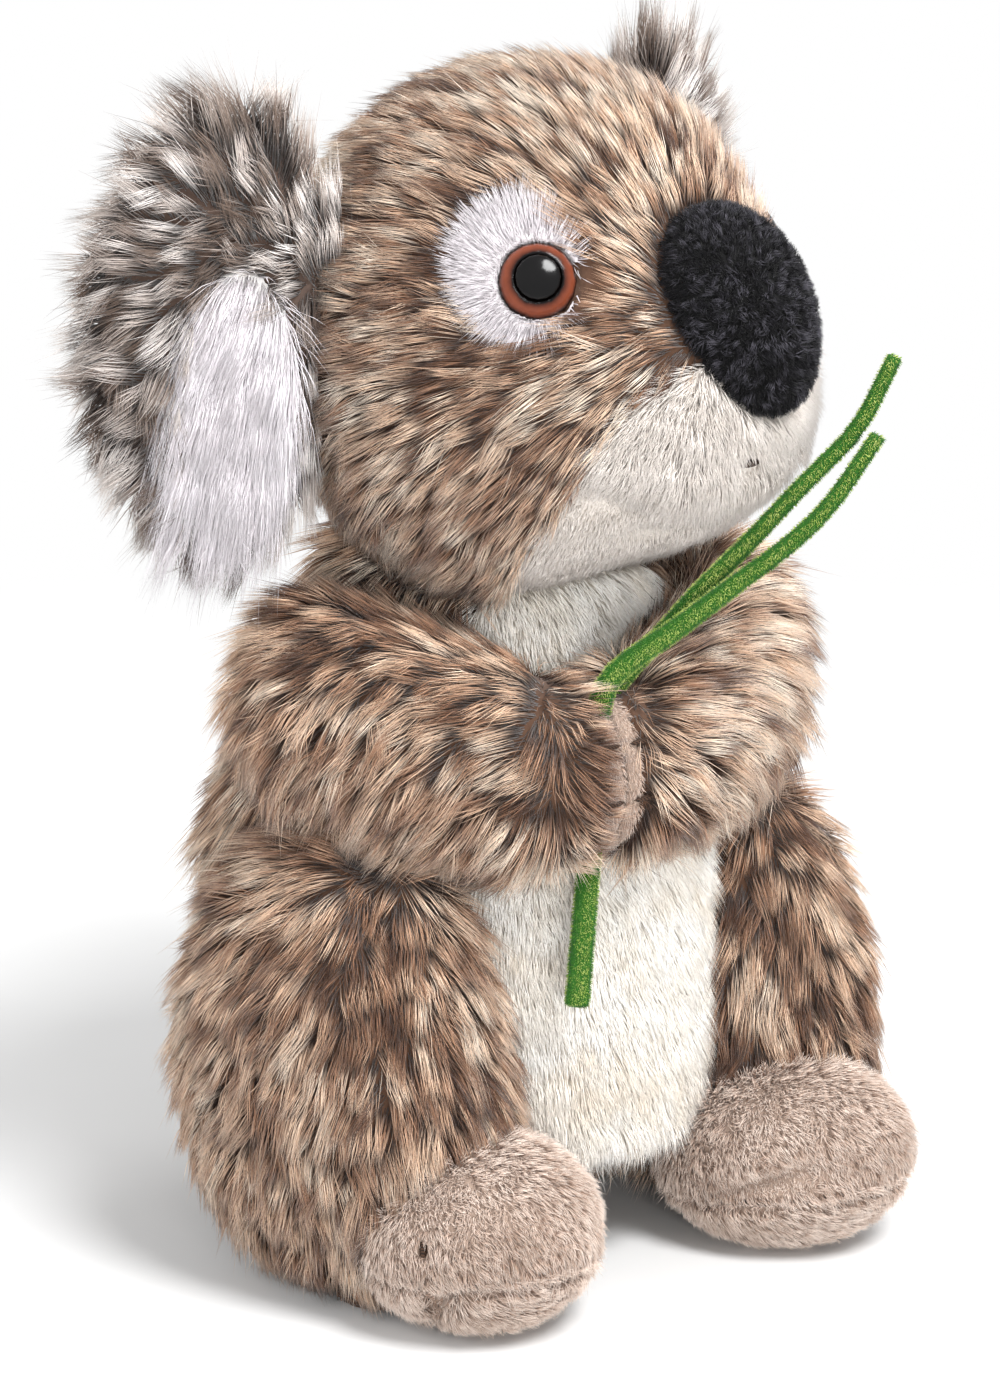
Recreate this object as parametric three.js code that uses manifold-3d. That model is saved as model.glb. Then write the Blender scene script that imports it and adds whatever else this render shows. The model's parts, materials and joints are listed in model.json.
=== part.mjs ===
// A sitting plush koala that holds a sprig of two long leaves between its paws.
// Millimetres and degrees. +Z is up, the koala faces -Y, its left hand is towards +X.
// The origin is the middle of the flat seat under the rump. Places below are given from the
// neck's axis, which stands seat.back in front of it.
// In every pair, side is -1 for the koala's right and 1 for its left.
import * as THREE from "three";
import { mergeVertices } from "three/addons/utils/BufferGeometryUtils.js";
import Module from "manifold-3d";

const wasm = await Module();
wasm.setup();

// Clearances
const seamGap = 0.35; // between two pieces that are sewn or pressed together
const brushGap = 0.7; // between a limb and the body that it swings past
const weld = 0.001; // vertices nearer than this are one vertex
const floorPress = 0.6; // how deep the floor flattens the stuffed underside

// Torso: a pear, round about the neck's axis, with a belly that pushes forward
const torso = {
  seatRadius: 31,
  hipRadius: 42.5,
  hipHeight: 36,
  waistRadius: 46,
  waistHeight: 72,
  chestRadius: 36,
  chestHeight: 100,
  neckRadius: 27,
  neckHeight: 128,
  height: 142,
};
const belly = { swellDepth: 3, swellHeight: 44, swellSpread: 34, swellSpreadDeg: 50 };
const rump = { backSet: 8.5, height: 66, spread: 36 };
const seat = { back: 22, edgeBack: 12, frontRise: 24, frontForward: 35 };
const bellyPanel = {
  halfWidth: 27,
  halfHeight: 82,
  halfDepth: 29,
  height: 64,
  thickness: 4,
  power: 4,
  topWidenShare: 0.3,
};

// Head: a ball with a muzzle and cheeks, sunk on to the neck and turned to the koala's left
const head = { halfWidth: 45, halfDepth: 42, halfHeight: 45, height: 171, forward: 9, turnDeg: 10 };
const muzzle = { riseShare: 0.35, spreadDeg: 32, yawDeg: 0, pitchDeg: -17 };
const cheek = { riseShare: 0.17, spreadDeg: 36, yawDeg: 66, pitchDeg: -42 };
const throat = { riseShare: -0.1, spreadDeg: 26, yawDeg: 0, pitchDeg: -58 };
const brow = { riseShare: 0.03, spreadDeg: 30, yawDeg: 0, pitchDeg: 48 };
const muzzlePanel = { halfWidth: 31, halfHeight: 38, halfDepth: 24, thickness: 4, pitchDeg: -34, power: 3 };
const nose = { halfWidth: 14, halfHeight: 19, halfDepth: 10.5, pitchDeg: 9, proud: 0, taperShare: 0.18 };
const mouth = {
  yawDeg: -2.5,
  pitchDeg: -19,
  halfLength: 2.2,
  threadRadius: 0.7,
  dimpleRadius: 4,
  dimpleDepth: 1.6,
};

// Safety eye: a domed plastic disc on a stem, held from inside the head by a dished washer
const eye = {
  yawDeg: 46,
  pitchDeg: 19,
  sunk: 0.8,
  radius: 6.8,
  rim: 1.2,
  dome: 3.6,
  stemRadius: 2.2,
  stemLength: 14,
  pupilRadius: 3.9,
  pupilDepth: 1.4,
  pupilRise: 0.4,
  washerRadius: 8,
  washerThickness: 1.6,
  washerDish: 1.5,
  washerInset: 7,
};
const eyePatch = { halfWidth: 12.5, halfHeight: 15.5, halfDepth: 5, outward: 3.5, raise: 4.5, rollDeg: 14 };

// Ear: a cupped flap on a rolled root, which lies in a groove in the side of the head
const ear = {
  yawDeg: 104,
  pitchDeg: 13,
  sweepDeg: 28,
  reach: 44,
  halfHeight: 32,
  halfThickness: 7.5,
  drop: 7,
  cup: 5,
  rootWidenShare: 0.36,
  rootRadius: 4.4,
  rootHalfLength: 15,
  rootSunk: 2,
  flopDeg: 18,
};
const lining = { reachShare: 0.42, dropShare: 0.6, halfWidthShare: 0.3, halfHeightShare: 0.8, halfDepth: 5 };

// Arm: from the shoulder round the chest to the paw, which ends flat at its palm
const arm = {
  shoulderOut: 27,
  shoulderBack: 3,
  shoulderHeight: 111,
  shoulderGirth: 17,
  upperOut: 38,
  upperForward: 3,
  upperHeight: 108,
  upperGirth: 19,
  elbowOut: 40,
  elbowForward: 14,
  elbowHeight: 104,
  elbowGirth: 19.5,
  wristShare: 0.55,
  wristBow: 6,
  wristHeight: 98,
  wristGirth: 17.5,
  pawForward: 43,
  pawHeight: 97,
  pawGirth: 16,
  flatShare: 0.92,
  lowerDeg: -2,
  raiseDeg: 3,
};
const hold = { sideways: -13, palmThickness: 3, pawOverlap: 12 };
const pinch = {
  spacing: 10,
  raise: 2,
  length: 11,
  routeShares: [
    [0, 0],
    [0.5, 0.02],
    [1, 0.1],
  ],
  grooveRadius: 2.2,
  threadRadius: 0.6,
};

// Leg: a bent haunch beside the torso, free to swing about the hip
const leg = {
  pivotOut: 30,
  pivotBack: 16,
  hipOut: 37,
  hipBack: 16,
  hipHeight: 42,
  hipGirth: 21,
  hipTall: 40,
  thighOut: 43,
  thighForward: 3,
  thighGirth: 24,
  thighTall: 43,
  kneeOut: 41,
  kneeForward: 31,
  kneeGirth: 20.5,
  kneeTall: 41,
  ankleOut: 38,
  ankleForward: 46,
  ankleHeight: 25,
  ankleGirth: 18,
  ankleTall: 26,
  closeDeg: -3,
  spreadDeg: 14,
};

// Foot: an upper and a sole sewn together round the rim. A thread draws in a dimple in the upper,
// with a notch in the sole below it, so that a toe shows.
const foot = {
  halfLength: 24,
  halfWidth: 21.5,
  halfHeight: 17,
  out: 36,
  forward: 42,
  toeOutDeg: 18,
  toeUpDeg: 6,
  soleDropShare: 0.3,
};
const toe = {
  yawDeg: 44,
  pitchDeg: 4,
  dimpleRadius: 3,
  dimpleDepth: 1.4,
  halfLength: 1.5,
  threadRadius: 0.7,
  notchHalfWidth: 1.3,
  notchHalfHeight: 7,
  notchDepth: 4,
  notchDropShare: 0.72,
};

// Sprig: two long ribbed leaves, one before the other, pressed between the palms.
// Each runs through its shares of the stalk's drop and of the tip's reach from the hold.
const leaf = { halfWidth: 2.2, halfThickness: 1.1, ribDepth: 0.3, ribs: 2, turnDeg: -38, tipShare: 0.66 };
const longLeaf = {
  end: { sideways: -5.8, forward: 6, rise: -41 },
  endShares: [
    [1, 1, 1],
    [0.6, 0.83, 0.65],
    [0.2, 0.58, 0.39],
  ],
  tip: { sideways: 39.9, forward: 36, rise: 74.8 },
  tipShares: [
    [0.05, 0.07, 0.02],
    [0.11, 0.08, 0.19],
    [0.22, 0.15, 0.27],
    [0.34, 0.24, 0.355],
    [0.42, 0.32, 0.425],
    [0.57, 0.51, 0.555],
    [0.73, 0.72, 0.705],
    [0.9, 0.86, 0.825],
    [1, 1, 1],
  ],
};
const shortLeaf = {
  end: { sideways: -2.2, forward: 5, rise: 3 },
  endShares: [[1, 1, 1]],
  tip: { sideways: 35.5, forward: 37, rise: 61.6 },
  tipShares: [
    [0.006, 0.176, 0.274],
    [0.09, 0.23, 0.334],
    [0.276, 0.35, 0.425],
    [0.383, 0.43, 0.485],
    [0.544, 0.555, 0.578],
    [0.69, 0.69, 0.67],
    [0.834, 0.824, 0.786],
    [1, 1, 1],
  ],
};

// How finely the forms are divided
const steps = {
  head: 5,
  ball: 3,
  cutter: 3,
  nose: 4,
  small: 2,
  lathe: 28,
  torsoRows: 12,
  seatRows: 4,
  rings: 12,
  sides: 16,
  eye: 16,
  dome: 3,
  leafRings: 24,
  leafSides: 8,
  threadRings: 5,
  threadSides: 6,
  swing: 5,
};

const zAxis = new THREE.Vector3(0, 0, 1);
const xAxis = new THREE.Vector3(1, 0, 0);
const radians = THREE.MathUtils.degToRad;

// Colours and finishes
const cloth = {
  fur: new THREE.MeshStandardMaterial({ color: 0x9a836c, roughness: 0.95, metalness: 0 }),
  earFur: new THREE.MeshStandardMaterial({ color: 0x857a70, roughness: 0.95, metalness: 0 }),
  white: new THREE.MeshStandardMaterial({ color: 0xf2efe9, roughness: 0.95, metalness: 0 }),
  greige: new THREE.MeshStandardMaterial({ color: 0xb09d8f, roughness: 0.95, metalness: 0 }),
  nose: new THREE.MeshStandardMaterial({ color: 0x161414, roughness: 0.9, metalness: 0 }),
  thread: new THREE.MeshStandardMaterial({ color: 0x3a281e, roughness: 0.8, metalness: 0 }),
  leaf: new THREE.MeshStandardMaterial({ color: 0x47722c, roughness: 0.85, metalness: 0 }),
  iris: new THREE.MeshStandardMaterial({ color: 0x7a3a1c, roughness: 0.15, metalness: 0 }),
  pupil: new THREE.MeshStandardMaterial({ color: 0x060606, roughness: 0.1, metalness: 0 }),
  washer: new THREE.MeshStandardMaterial({ color: 0xe8e6e0, roughness: 0.4, metalness: 0 }),
};

// Solids from geometries and back
function weldedOf(geometry) {
  const bare = geometry.clone();
  bare.deleteAttribute("normal");
  bare.deleteAttribute("uv");
  return mergeVertices(bare, weld);
}

function solidOf(geometry) {
  const welded = weldedOf(geometry);
  const triVerts = new Uint32Array(welded.index.array);
  const vertProperties = welded.attributes.position.array;
  return new wasm.Manifold(new wasm.Mesh({ numProp: 3, vertProperties, triVerts }));
}

function geometryOf(solid) {
  const mesh = solid.getMesh();
  const geometry = new THREE.BufferGeometry();
  geometry.setAttribute("position", new THREE.BufferAttribute(mesh.vertProperties, 3));
  geometry.setIndex(new THREE.BufferAttribute(mesh.triVerts, 1));
  geometry.computeVertexNormals();
  return geometry;
}

function piece(name, solid, material) {
  const mesh = new THREE.Mesh(geometryOf(solid), material.clone());
  mesh.name = name;
  return mesh;
}

function moved(geometry, matrix) {
  return geometry.clone().applyMatrix4(matrix);
}

function asSolid(geometry, matrix) {
  return solidOf(moved(geometry, matrix));
}

function cut(solid, ...tools) {
  return tools.reduce((rest, tool) => rest.subtract(tool), solid);
}

// The same form with its skin moved outward
function grown(geometry, grow) {
  const welded = weldedOf(geometry);
  welded.computeVertexNormals();
  const place = welded.attributes.position;
  const normal = welded.attributes.normal;
  for (let i = 0; i < place.count; i++) {
    const out = new THREE.Vector3().fromBufferAttribute(normal, i).multiplyScalar(grow);
    place.setXYZ(i, place.getX(i) + out.x, place.getY(i) + out.y, place.getZ(i) + out.z);
  }
  return welded;
}

// A ball with half sizes along X, Y and Z
function ball(halfX, halfY, halfZ, detail = steps.ball) {
  return new THREE.IcosahedronGeometry(1, detail).scale(halfX, halfY, halfZ);
}

// A ball whose outline is squarer the more its power lies above 2
function squareBall({ halfWidth, halfHeight, halfDepth, power }, grow) {
  const share = (length, half) => (Math.abs(length) / (half + grow)) ** power;
  const reach = ({ x, y, z }) => (share(x, halfWidth) + share(y, halfHeight) + share(z, halfDepth)) ** (-1 / power);
  return swollenBall(reach, steps.cutter);
}

// A ball whose surface lies at reachOf(direction) from its middle, plus grow
function swollenBall(reachOf, detail, grow = 0) {
  const geometry = new THREE.IcosahedronGeometry(1, detail);
  const place = geometry.attributes.position;
  const direction = new THREE.Vector3();
  for (let i = 0; i < place.count; i++) {
    direction.fromBufferAttribute(place, i).normalize();
    const reach = reachOf(direction) + grow;
    place.setXYZ(i, direction.x * reach, direction.y * reach, direction.z * reach);
  }
  return geometry;
}

// A solid turned about Z, from [radius, height] pairs that run up from the axis and back to it
function turned(profile, segments = steps.eye) {
  const points = profile.map(([radius, height]) => new THREE.Vector2(radius, height));
  return new THREE.LatheGeometry(points, segments).rotateX(Math.PI / 2);
}

// A direction that faces the front at yaw 0 and pitch 0
function direction(yawDeg, pitchDeg) {
  const level = Math.cos(radians(pitchDeg));
  const yaw = radians(yawDeg);
  return new THREE.Vector3(Math.sin(yaw) * level, -Math.cos(yaw) * level, Math.sin(radians(pitchDeg)));
}

// Places a local frame on a swollen ball: X to the side, Y up along the surface, Z outward
function seatOn(reachOf, middle, yawDeg, pitchDeg, { proud = 0, rollDeg = 0 } = {}) {
  const stepDeg = 2;
  const at = (yaw, pitch) => {
    const way = direction(yaw, pitch);
    return way.multiplyScalar(reachOf(way));
  };
  const sideways = at(yawDeg + stepDeg, pitchDeg).sub(at(yawDeg - stepDeg, pitchDeg));
  const upward = at(yawDeg, pitchDeg + stepDeg).sub(at(yawDeg, pitchDeg - stepDeg));
  const outward = sideways.cross(upward).normalize();
  const up = zAxis.clone().addScaledVector(outward, -outward.z).normalize();
  const side = up.clone().cross(outward);
  const matrix = new THREE.Matrix4().makeBasis(side, up, outward);
  matrix.multiply(new THREE.Matrix4().makeRotationZ(radians(rollDeg)));
  matrix.setPosition(at(yawDeg, pitchDeg).add(middle).addScaledVector(outward, proud));
  return matrix;
}

// A stuffed tube: rings round a bent core, drawn in to a point at both ends.
// A station has its place, its half width along across and its half height square to that.
// The rings of an upright tube stand straight up instead of square to the core.
function stuffedTube(stations, across, options = {}) {
  const { fullness = 4, grow = 0, rings = steps.rings, sides = steps.sides, upright = false } = options;
  const core = new THREE.CatmullRomCurve3(stations.map(({ at }) => new THREE.Vector3(...at)));
  const girths = new THREE.CatmullRomCurve3(stations.map(({ wide, high }) => new THREE.Vector3(wide, high, 0)));
  const places = [];
  const ends = [0, 1].map((t) => {
    const outward = core.getTangent(t).multiplyScalar(t ? grow : -grow);
    return core.getPoint(t).add(outward);
  });
  places.push(ends[0]);
  for (let i = 1; i < rings; i++) {
    const t = (1 - Math.cos((Math.PI * i) / rings)) / 2;
    const shrink = Math.sqrt(1 - Math.abs(2 * t - 1) ** fullness);
    const along = core.getTangent(t);
    if (upright) along.setZ(0).normalize();
    const first = across.clone().addScaledVector(along, -across.dot(along)).normalize();
    const second = along.clone().cross(first);
    const girth = girths.getPoint(t);
    for (let j = 0; j < sides; j++) {
      const angle = (2 * Math.PI * j) / sides;
      const wide = girth.x * shrink + grow;
      const high = girth.y * shrink + grow;
      const place = core.getPoint(t).addScaledVector(first, Math.cos(angle) * wide);
      places.push(place.addScaledVector(second, Math.sin(angle) * high));
    }
  }
  places.push(ends[1]);
  return closedRings(places, sides);
}

// Joins rings of equal count, between a first and a last point, into one closed skin
function closedRings(places, sides) {
  const last = places.length - 1;
  const ringCount = (places.length - 2) / sides;
  const index = [];
  for (let j = 0; j < sides; j++) {
    const next = (j + 1) % sides;
    index.push(0, 1 + next, 1 + j);
    for (let i = 0; i < ringCount - 1; i++) {
      const low = 1 + i * sides;
      const high = low + sides;
      index.push(low + j, low + next, high + j);
      index.push(low + next, high + next, high + j);
    }
    const rim = last - sides;
    index.push(last, rim + j, rim + next);
  }
  const geometry = new THREE.BufferGeometry().setFromPoints(places);
  geometry.setIndex(index);
  return geometry;
}

// A ribbed strip along a core, narrower at its tip, with square ends
function strip(core, across, { halfWidth, halfThickness, ribDepth, ribs, tipShare }, grow = 0) {
  const { leafRings, leafSides } = steps;
  const places = [];
  for (let i = 0; i <= leafRings; i++) {
    const t = i / leafRings;
    const along = core.getTangentAt(t);
    const first = across.clone().addScaledVector(along, -across.dot(along)).normalize();
    const second = along.clone().cross(first);
    const middle = core.getPointAt(t);
    const taper = THREE.MathUtils.lerp(1, tipShare, t);
    if (i === 0) places.push(middle.clone().addScaledVector(along, -grow));
    for (let j = 0; j < leafSides; j++) {
      const angle = (2 * Math.PI * (j + 0.5)) / leafSides;
      const share = Math.cos(angle);
      const groove = ribDepth * Math.cos(Math.PI * ribs * share) ** 2;
      const place = middle.clone().addScaledVector(first, share * (halfWidth * taper + grow));
      const thickness = Math.sign(Math.sin(angle)) * Math.sqrt(Math.abs(Math.sin(angle)));
      places.push(place.addScaledVector(second, thickness * (halfThickness * taper - groove + grow)));
    }
    if (i === leafRings) places.push(middle.clone().addScaledVector(along, grow));
  }
  return closedRings(places, leafSides);
}

// A round thread along a list of points, with ends drawn in
function threadAlong(points, radius, across, grow = 0) {
  const stations = points.map((point) => ({ at: point.toArray(), wide: radius, high: radius }));
  const { threadRings: rings, threadSides: sides } = steps;
  return stuffedTube(stations, across, { grow, rings, sides });
}

// Torso
function torsoForm(grow = 0) {
  const { seatRadius, hipRadius, waistRadius, chestRadius, neckRadius, height } = torso;
  const outline = new THREE.SplineCurve([
    new THREE.Vector2(seatRadius, -floorPress),
    new THREE.Vector2((seatRadius + 2 * hipRadius) / 3, torso.hipHeight / 4),
    new THREE.Vector2(hipRadius, torso.hipHeight),
    new THREE.Vector2(waistRadius, torso.waistHeight),
    new THREE.Vector2(chestRadius, torso.chestHeight),
    new THREE.Vector2(neckRadius, torso.neckHeight),
    new THREE.Vector2(0, height),
  ]);
  const sides = outline.getPoints(steps.torsoRows).map(({ x, y }) => [Math.max(x, 0), y]);
  const under = Array.from({ length: steps.seatRows }, (_, i) => [(seatRadius * i) / steps.seatRows, -floorPress]);
  const geometry = turned([...under, ...sides], steps.lathe);
  const place = geometry.attributes.position;
  for (let i = 0; i < place.count; i++) {
    const x = place.getX(i);
    const y = place.getY(i);
    const radius = Math.hypot(x, y);
    if (radius < weld) continue;
    const yawDeg = THREE.MathUtils.radToDeg(Math.atan2(x, -y));
    const high = (place.getZ(i) - belly.swellHeight) / belly.swellSpread;
    const wide = yawDeg / belly.swellSpreadDeg;
    const push = 1 + (belly.swellDepth * Math.exp(-high * high - wide * wide)) / radius;
    place.setXY(i, x * push, y * push);
  }
  return grown(satBack(geometry), grow);
}

// Sets the torso back at the hips and lifts its underside before the seat
function satBack(geometry) {
  const place = geometry.attributes.position;
  for (let i = 0; i < place.count; i++) {
    const z = place.getZ(i);
    const high = (z - rump.height) / rump.spread;
    const y = place.getY(i) + rump.backSet * Math.exp(-high * high);
    const forward = Math.max(0, (seat.edgeBack - y) / (seat.edgeBack + seat.frontForward));
    const low = THREE.MathUtils.clamp(1 - z / torso.hipHeight, 0, 1);
    place.setY(i, y);
    place.setZ(i, z + seat.frontRise * forward * low * low);
  }
  return geometry;
}

// Head
const headMiddle = new THREE.Vector3(0, -head.forward, 0);
const headSwells = [
  { way: direction(muzzle.yawDeg, muzzle.pitchDeg), ...muzzle },
  { way: direction(-cheek.yawDeg, cheek.pitchDeg), ...cheek },
  { way: direction(cheek.yawDeg, cheek.pitchDeg), ...cheek },
  { way: direction(brow.yawDeg, brow.pitchDeg), ...brow },
  { way: direction(throat.yawDeg, throat.pitchDeg), ...throat },
];

function headReach(way) {
  const { halfWidth, halfDepth, halfHeight } = head;
  const plain = 1 / Math.hypot(way.x / halfWidth, way.y / halfDepth, way.z / halfHeight);
  const rise = headSwells.reduce((sum, swell) => {
    const away = way.angleTo(swell.way) / radians(swell.spreadDeg);
    return sum + swell.riseShare * Math.exp(-away * away);
  }, 0);
  return plain * (1 + rise);
}

function headForm(grow = 0) {
  return swollenBall(headReach, steps.head, grow).translate(...headMiddle.toArray());
}

// Panels of white cloth let into the torso and the head
function bellyCutter(grow = 0) {
  const upright = squareBall(bellyPanel, grow).rotateX(Math.PI / 2);
  const place = upright.attributes.position;
  for (let i = 0; i < place.count; i++) {
    const high = Math.max(0, place.getZ(i) / bellyPanel.halfHeight);
    place.setX(i, place.getX(i) * (1 + bellyPanel.topWidenShare * high));
  }
  return upright.translate(0, -torso.hipRadius, bellyPanel.height);
}

function muzzleCutter(grow = 0) {
  return moved(squareBall(muzzlePanel, grow), seatOn(headReach, headMiddle, 0, muzzlePanel.pitchDeg));
}

// The pocket for a panel and the panel that lies in it, flush with the form
function letIn(formOf, cutterOf, thickness) {
  const pocket = cut(solidOf(cutterOf(0)), solidOf(formOf(-thickness)));
  const inside = solidOf(formOf()).intersect(solidOf(cutterOf(-seamGap)));
  return { pocket, panel: cut(inside, solidOf(formOf(seamGap - thickness))) };
}

// Eyes, in a frame whose Z points out of the head
function domeRows(radius, dome, from = 0) {
  return Array.from({ length: steps.dome }, (_, i) => {
    const angle = from + ((Math.PI / 2 - from) * i) / steps.dome;
    return [radius * Math.cos(angle), dome * Math.sin(angle)];
  });
}

function irisForm(grow = 0) {
  const { radius, rim, dome, stemRadius, stemLength } = eye;
  return turned([
    [0, -stemLength - grow],
    [stemRadius + grow, -stemLength - grow],
    [stemRadius + grow, -rim - grow],
    [radius + grow, -rim - grow],
    ...domeRows(radius + grow, dome + grow),
    [0, dome + grow],
  ]);
}

function pupilForm(grow = 0) {
  const { radius, dome, pupilRadius, pupilDepth, pupilRise } = eye;
  const edge = Math.acos(pupilRadius / radius);
  const rows = domeRows(radius, dome, edge).map(([out, high]) => [out + grow, high + pupilRise + grow]);
  const bottom = dome - pupilDepth - grow;
  return turned([[0, bottom], [pupilRadius + grow, bottom], ...rows, [0, dome + pupilRise + grow]]);
}

function washerForm(grow = 0) {
  const { stemRadius, washerRadius, washerThickness, washerDish, washerInset } = eye;
  const inside = stemRadius + seamGap - grow;
  const outside = washerRadius + grow;
  const top = grow - washerInset;
  const bottom = -washerInset - washerThickness - grow;
  return turned([
    [inside, bottom],
    [outside, bottom - washerDish],
    [outside, top - washerDish],
    [inside, top],
    [inside, bottom],
  ]);
}

function eyeMatrix(side) {
  return seatOn(headReach, headMiddle, side * eye.yawDeg, eye.pitchDeg, { proud: -eye.sunk });
}

function eyeTool(side) {
  const matrix = eyeMatrix(side);
  return asSolid(irisForm(seamGap), matrix).add(asSolid(washerForm(seamGap), matrix));
}

function patchCutter(side, grow = 0) {
  const { halfWidth, halfHeight, halfDepth, outward, raise, rollDeg } = eyePatch;
  const cutter = ball(halfWidth + grow, halfHeight + grow, halfDepth + grow, steps.cutter);
  cutter.translate(side * outward, raise, 0);
  return moved(cutter, seatOn(headReach, headMiddle, side * eye.yawDeg, eye.pitchDeg, { rollDeg: -side * rollDeg }));
}

// Nose: a stuffed pad, wide at the top
function noseForm() {
  const form = ball(nose.halfWidth, nose.halfHeight, nose.halfDepth, steps.nose);
  const place = form.attributes.position;
  for (let i = 0; i < place.count; i++) {
    const widen = 1 + (nose.taperShare * place.getY(i)) / nose.halfHeight;
    place.setX(i, place.getX(i) * widen);
  }
  return moved(form, seatOn(headReach, headMiddle, 0, nose.pitchDeg, nose));
}

// A round dimple and the short stitch at its bottom, in a frame whose Z points out of the cloth
function dimpleBall({ dimpleRadius, dimpleDepth }) {
  const form = ball(dimpleRadius, dimpleRadius, dimpleRadius, steps.small);
  return form.translate(0, 0, dimpleRadius - dimpleDepth);
}

function dimpleStitch({ halfLength, threadRadius, dimpleDepth }) {
  const depth = dimpleDepth - threadRadius - seamGap;
  const ends = [-halfLength, 0, halfLength].map((x) => new THREE.Vector3(x, 0, -depth));
  return threadAlong(ends, threadRadius, zAxis);
}

// Mouth
function mouthMatrix() {
  return seatOn(headReach, headMiddle, mouth.yawDeg, mouth.pitchDeg);
}

// Ears, in a frame whose Z is the root's axis and whose flap points away from the head
function earRootForm(grow = 0) {
  const { rootRadius, rootHalfLength } = ear;
  return ball(rootRadius + grow, rootRadius + grow, rootHalfLength + grow, steps.small);
}

function earForm(side) {
  const half = ear.reach / 2;
  const flap = ball(half, ear.halfThickness, ear.halfHeight).translate(side * half, 0, 0);
  const place = flap.attributes.position;
  for (let i = 0; i < place.count; i++) {
    const out = Math.abs(place.getX(i)) / ear.reach;
    place.setY(i, place.getY(i) - ear.cup * out * out);
    place.setZ(i, place.getZ(i) * (1 + ear.rootWidenShare * (1 - out)) - ear.drop);
  }
  return cut(solidOf(flap), ...headRoundEar(side)).add(solidOf(earRootForm()));
}

function liningCutter(side, grow = 0) {
  const halfWidth = lining.halfWidthShare * ear.reach;
  const halfHeight = lining.halfHeightShare * ear.halfHeight;
  const cutter = ball(halfWidth + grow, lining.halfDepth + grow, halfHeight + grow, steps.cutter);
  const out = lining.reachShare * ear.reach;
  return solidOf(cutter.translate(side * out, -ear.halfThickness, -lining.dropShare * ear.halfHeight));
}

function earRoot(side) {
  const way = direction(side * ear.yawDeg, ear.pitchDeg);
  return way.clone().multiplyScalar(headReach(way) - ear.rootSunk).add(headMiddle);
}

function earMatrix(side, flopDeg = 0) {
  const turn = side * radians(ear.sweepDeg) + radians(flopDeg);
  return new THREE.Matrix4().makeRotationZ(turn).setPosition(earRoot(side));
}

// What the ear's flap has to stay clear of while it flops, seen from the ear
function headRoundEar(side) {
  const form = headForm(seamGap);
  return anglesBetween(-ear.flopDeg, ear.flopDeg).map((flop) => asSolid(form, earMatrix(side, flop).invert()));
}

// The floor, and what lies beyond one palm, as blocks to cut with
function floorBlock() {
  const { height } = torso;
  return solidOf(new THREE.BoxGeometry(4 * height, 4 * height, height).translate(0, 0, -height / 2));
}

function beyondPalm(side, gap) {
  const size = torso.height;
  const middle = hold.sideways - side * (size / 2 - gap);
  return solidOf(new THREE.BoxGeometry(size, size, size).translate(middle, -size / 2, arm.pawHeight));
}

// Arms
function armStations(side) {
  const { lerp } = THREE.MathUtils;
  const wristOut = lerp(side * arm.elbowOut, hold.sideways, arm.wristShare);
  const wristForward = lerp(arm.elbowForward, arm.pawForward, arm.wristShare) + arm.wristBow;
  const pawEnd = hold.sideways - side * hold.pawOverlap;
  const rows = [
    [side * arm.shoulderOut, arm.shoulderBack, arm.shoulderHeight, arm.shoulderGirth],
    [side * arm.upperOut, -arm.upperForward, arm.upperHeight, arm.upperGirth],
    [side * arm.elbowOut, -arm.elbowForward, arm.elbowHeight, arm.elbowGirth],
    [wristOut, -wristForward, arm.wristHeight, arm.wristGirth],
    [hold.sideways, -arm.pawForward, arm.pawHeight, arm.pawGirth],
    [pawEnd, -arm.pawForward, arm.pawHeight, arm.pawGirth],
  ];
  return rows.map(([x, y, z, girth]) => ({ at: [x, y, z], wide: girth, high: girth * arm.flatShare }));
}

function armForm(side, grow = 0) {
  return solidOf(stuffedTube(armStations(side), zAxis, { grow }));
}

// A thread that pinches a finger along the front of the paw, or with grow the groove it makes
function pinchThread(side, place, inset, grow = 0) {
  const rise = pinch.raise + (place * pinch.spacing) / 2;
  const start = hold.sideways + side * (seamGap + pinch.threadRadius);
  const reach = arm.pawGirth * arm.flatShare * Math.sqrt(1 - (rise / arm.pawGirth) ** 2);
  const points = pinch.routeShares.map(([along, back]) => {
    const x = start + side * (along * (pinch.length + 2 * grow) - grow);
    return new THREE.Vector3(x, inset + back * pinch.length - arm.pawForward - reach, arm.pawHeight + rise);
  });
  return solidOf(threadAlong(points, pinch.threadRadius, zAxis, grow));
}

// Legs
function legForm(side, grow = 0) {
  const { hipOut, hipBack, hipHeight, hipGirth, hipTall } = leg;
  const { thighOut, thighForward, thighGirth, thighTall } = leg;
  const { kneeOut, kneeForward, kneeGirth, kneeTall } = leg;
  const { ankleOut, ankleForward, ankleHeight, ankleGirth, ankleTall } = leg;
  const stations = [
    { at: [side * hipOut, hipBack, hipHeight], wide: hipGirth, high: hipTall },
    { at: [side * thighOut, -thighForward, thighTall - floorPress], wide: thighGirth, high: thighTall },
    { at: [side * kneeOut, -kneeForward, kneeTall - floorPress], wide: kneeGirth, high: kneeTall },
    { at: [side * ankleOut, -ankleForward, ankleHeight], wide: ankleGirth, high: ankleTall },
  ];
  return solidOf(stuffedTube(stations, xAxis, { fullness: 3, grow, upright: true }));
}

// Feet, in a frame whose -Y points to the toes
function footMatrix(side) {
  const turn = new THREE.Euler(-radians(foot.toeUpDeg), 0, side * radians(foot.toeOutDeg), "ZYX");
  const matrix = new THREE.Matrix4().makeRotationFromEuler(turn);
  return matrix.setPosition(side * foot.out, -foot.forward, foot.halfHeight - floorPress);
}

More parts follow.
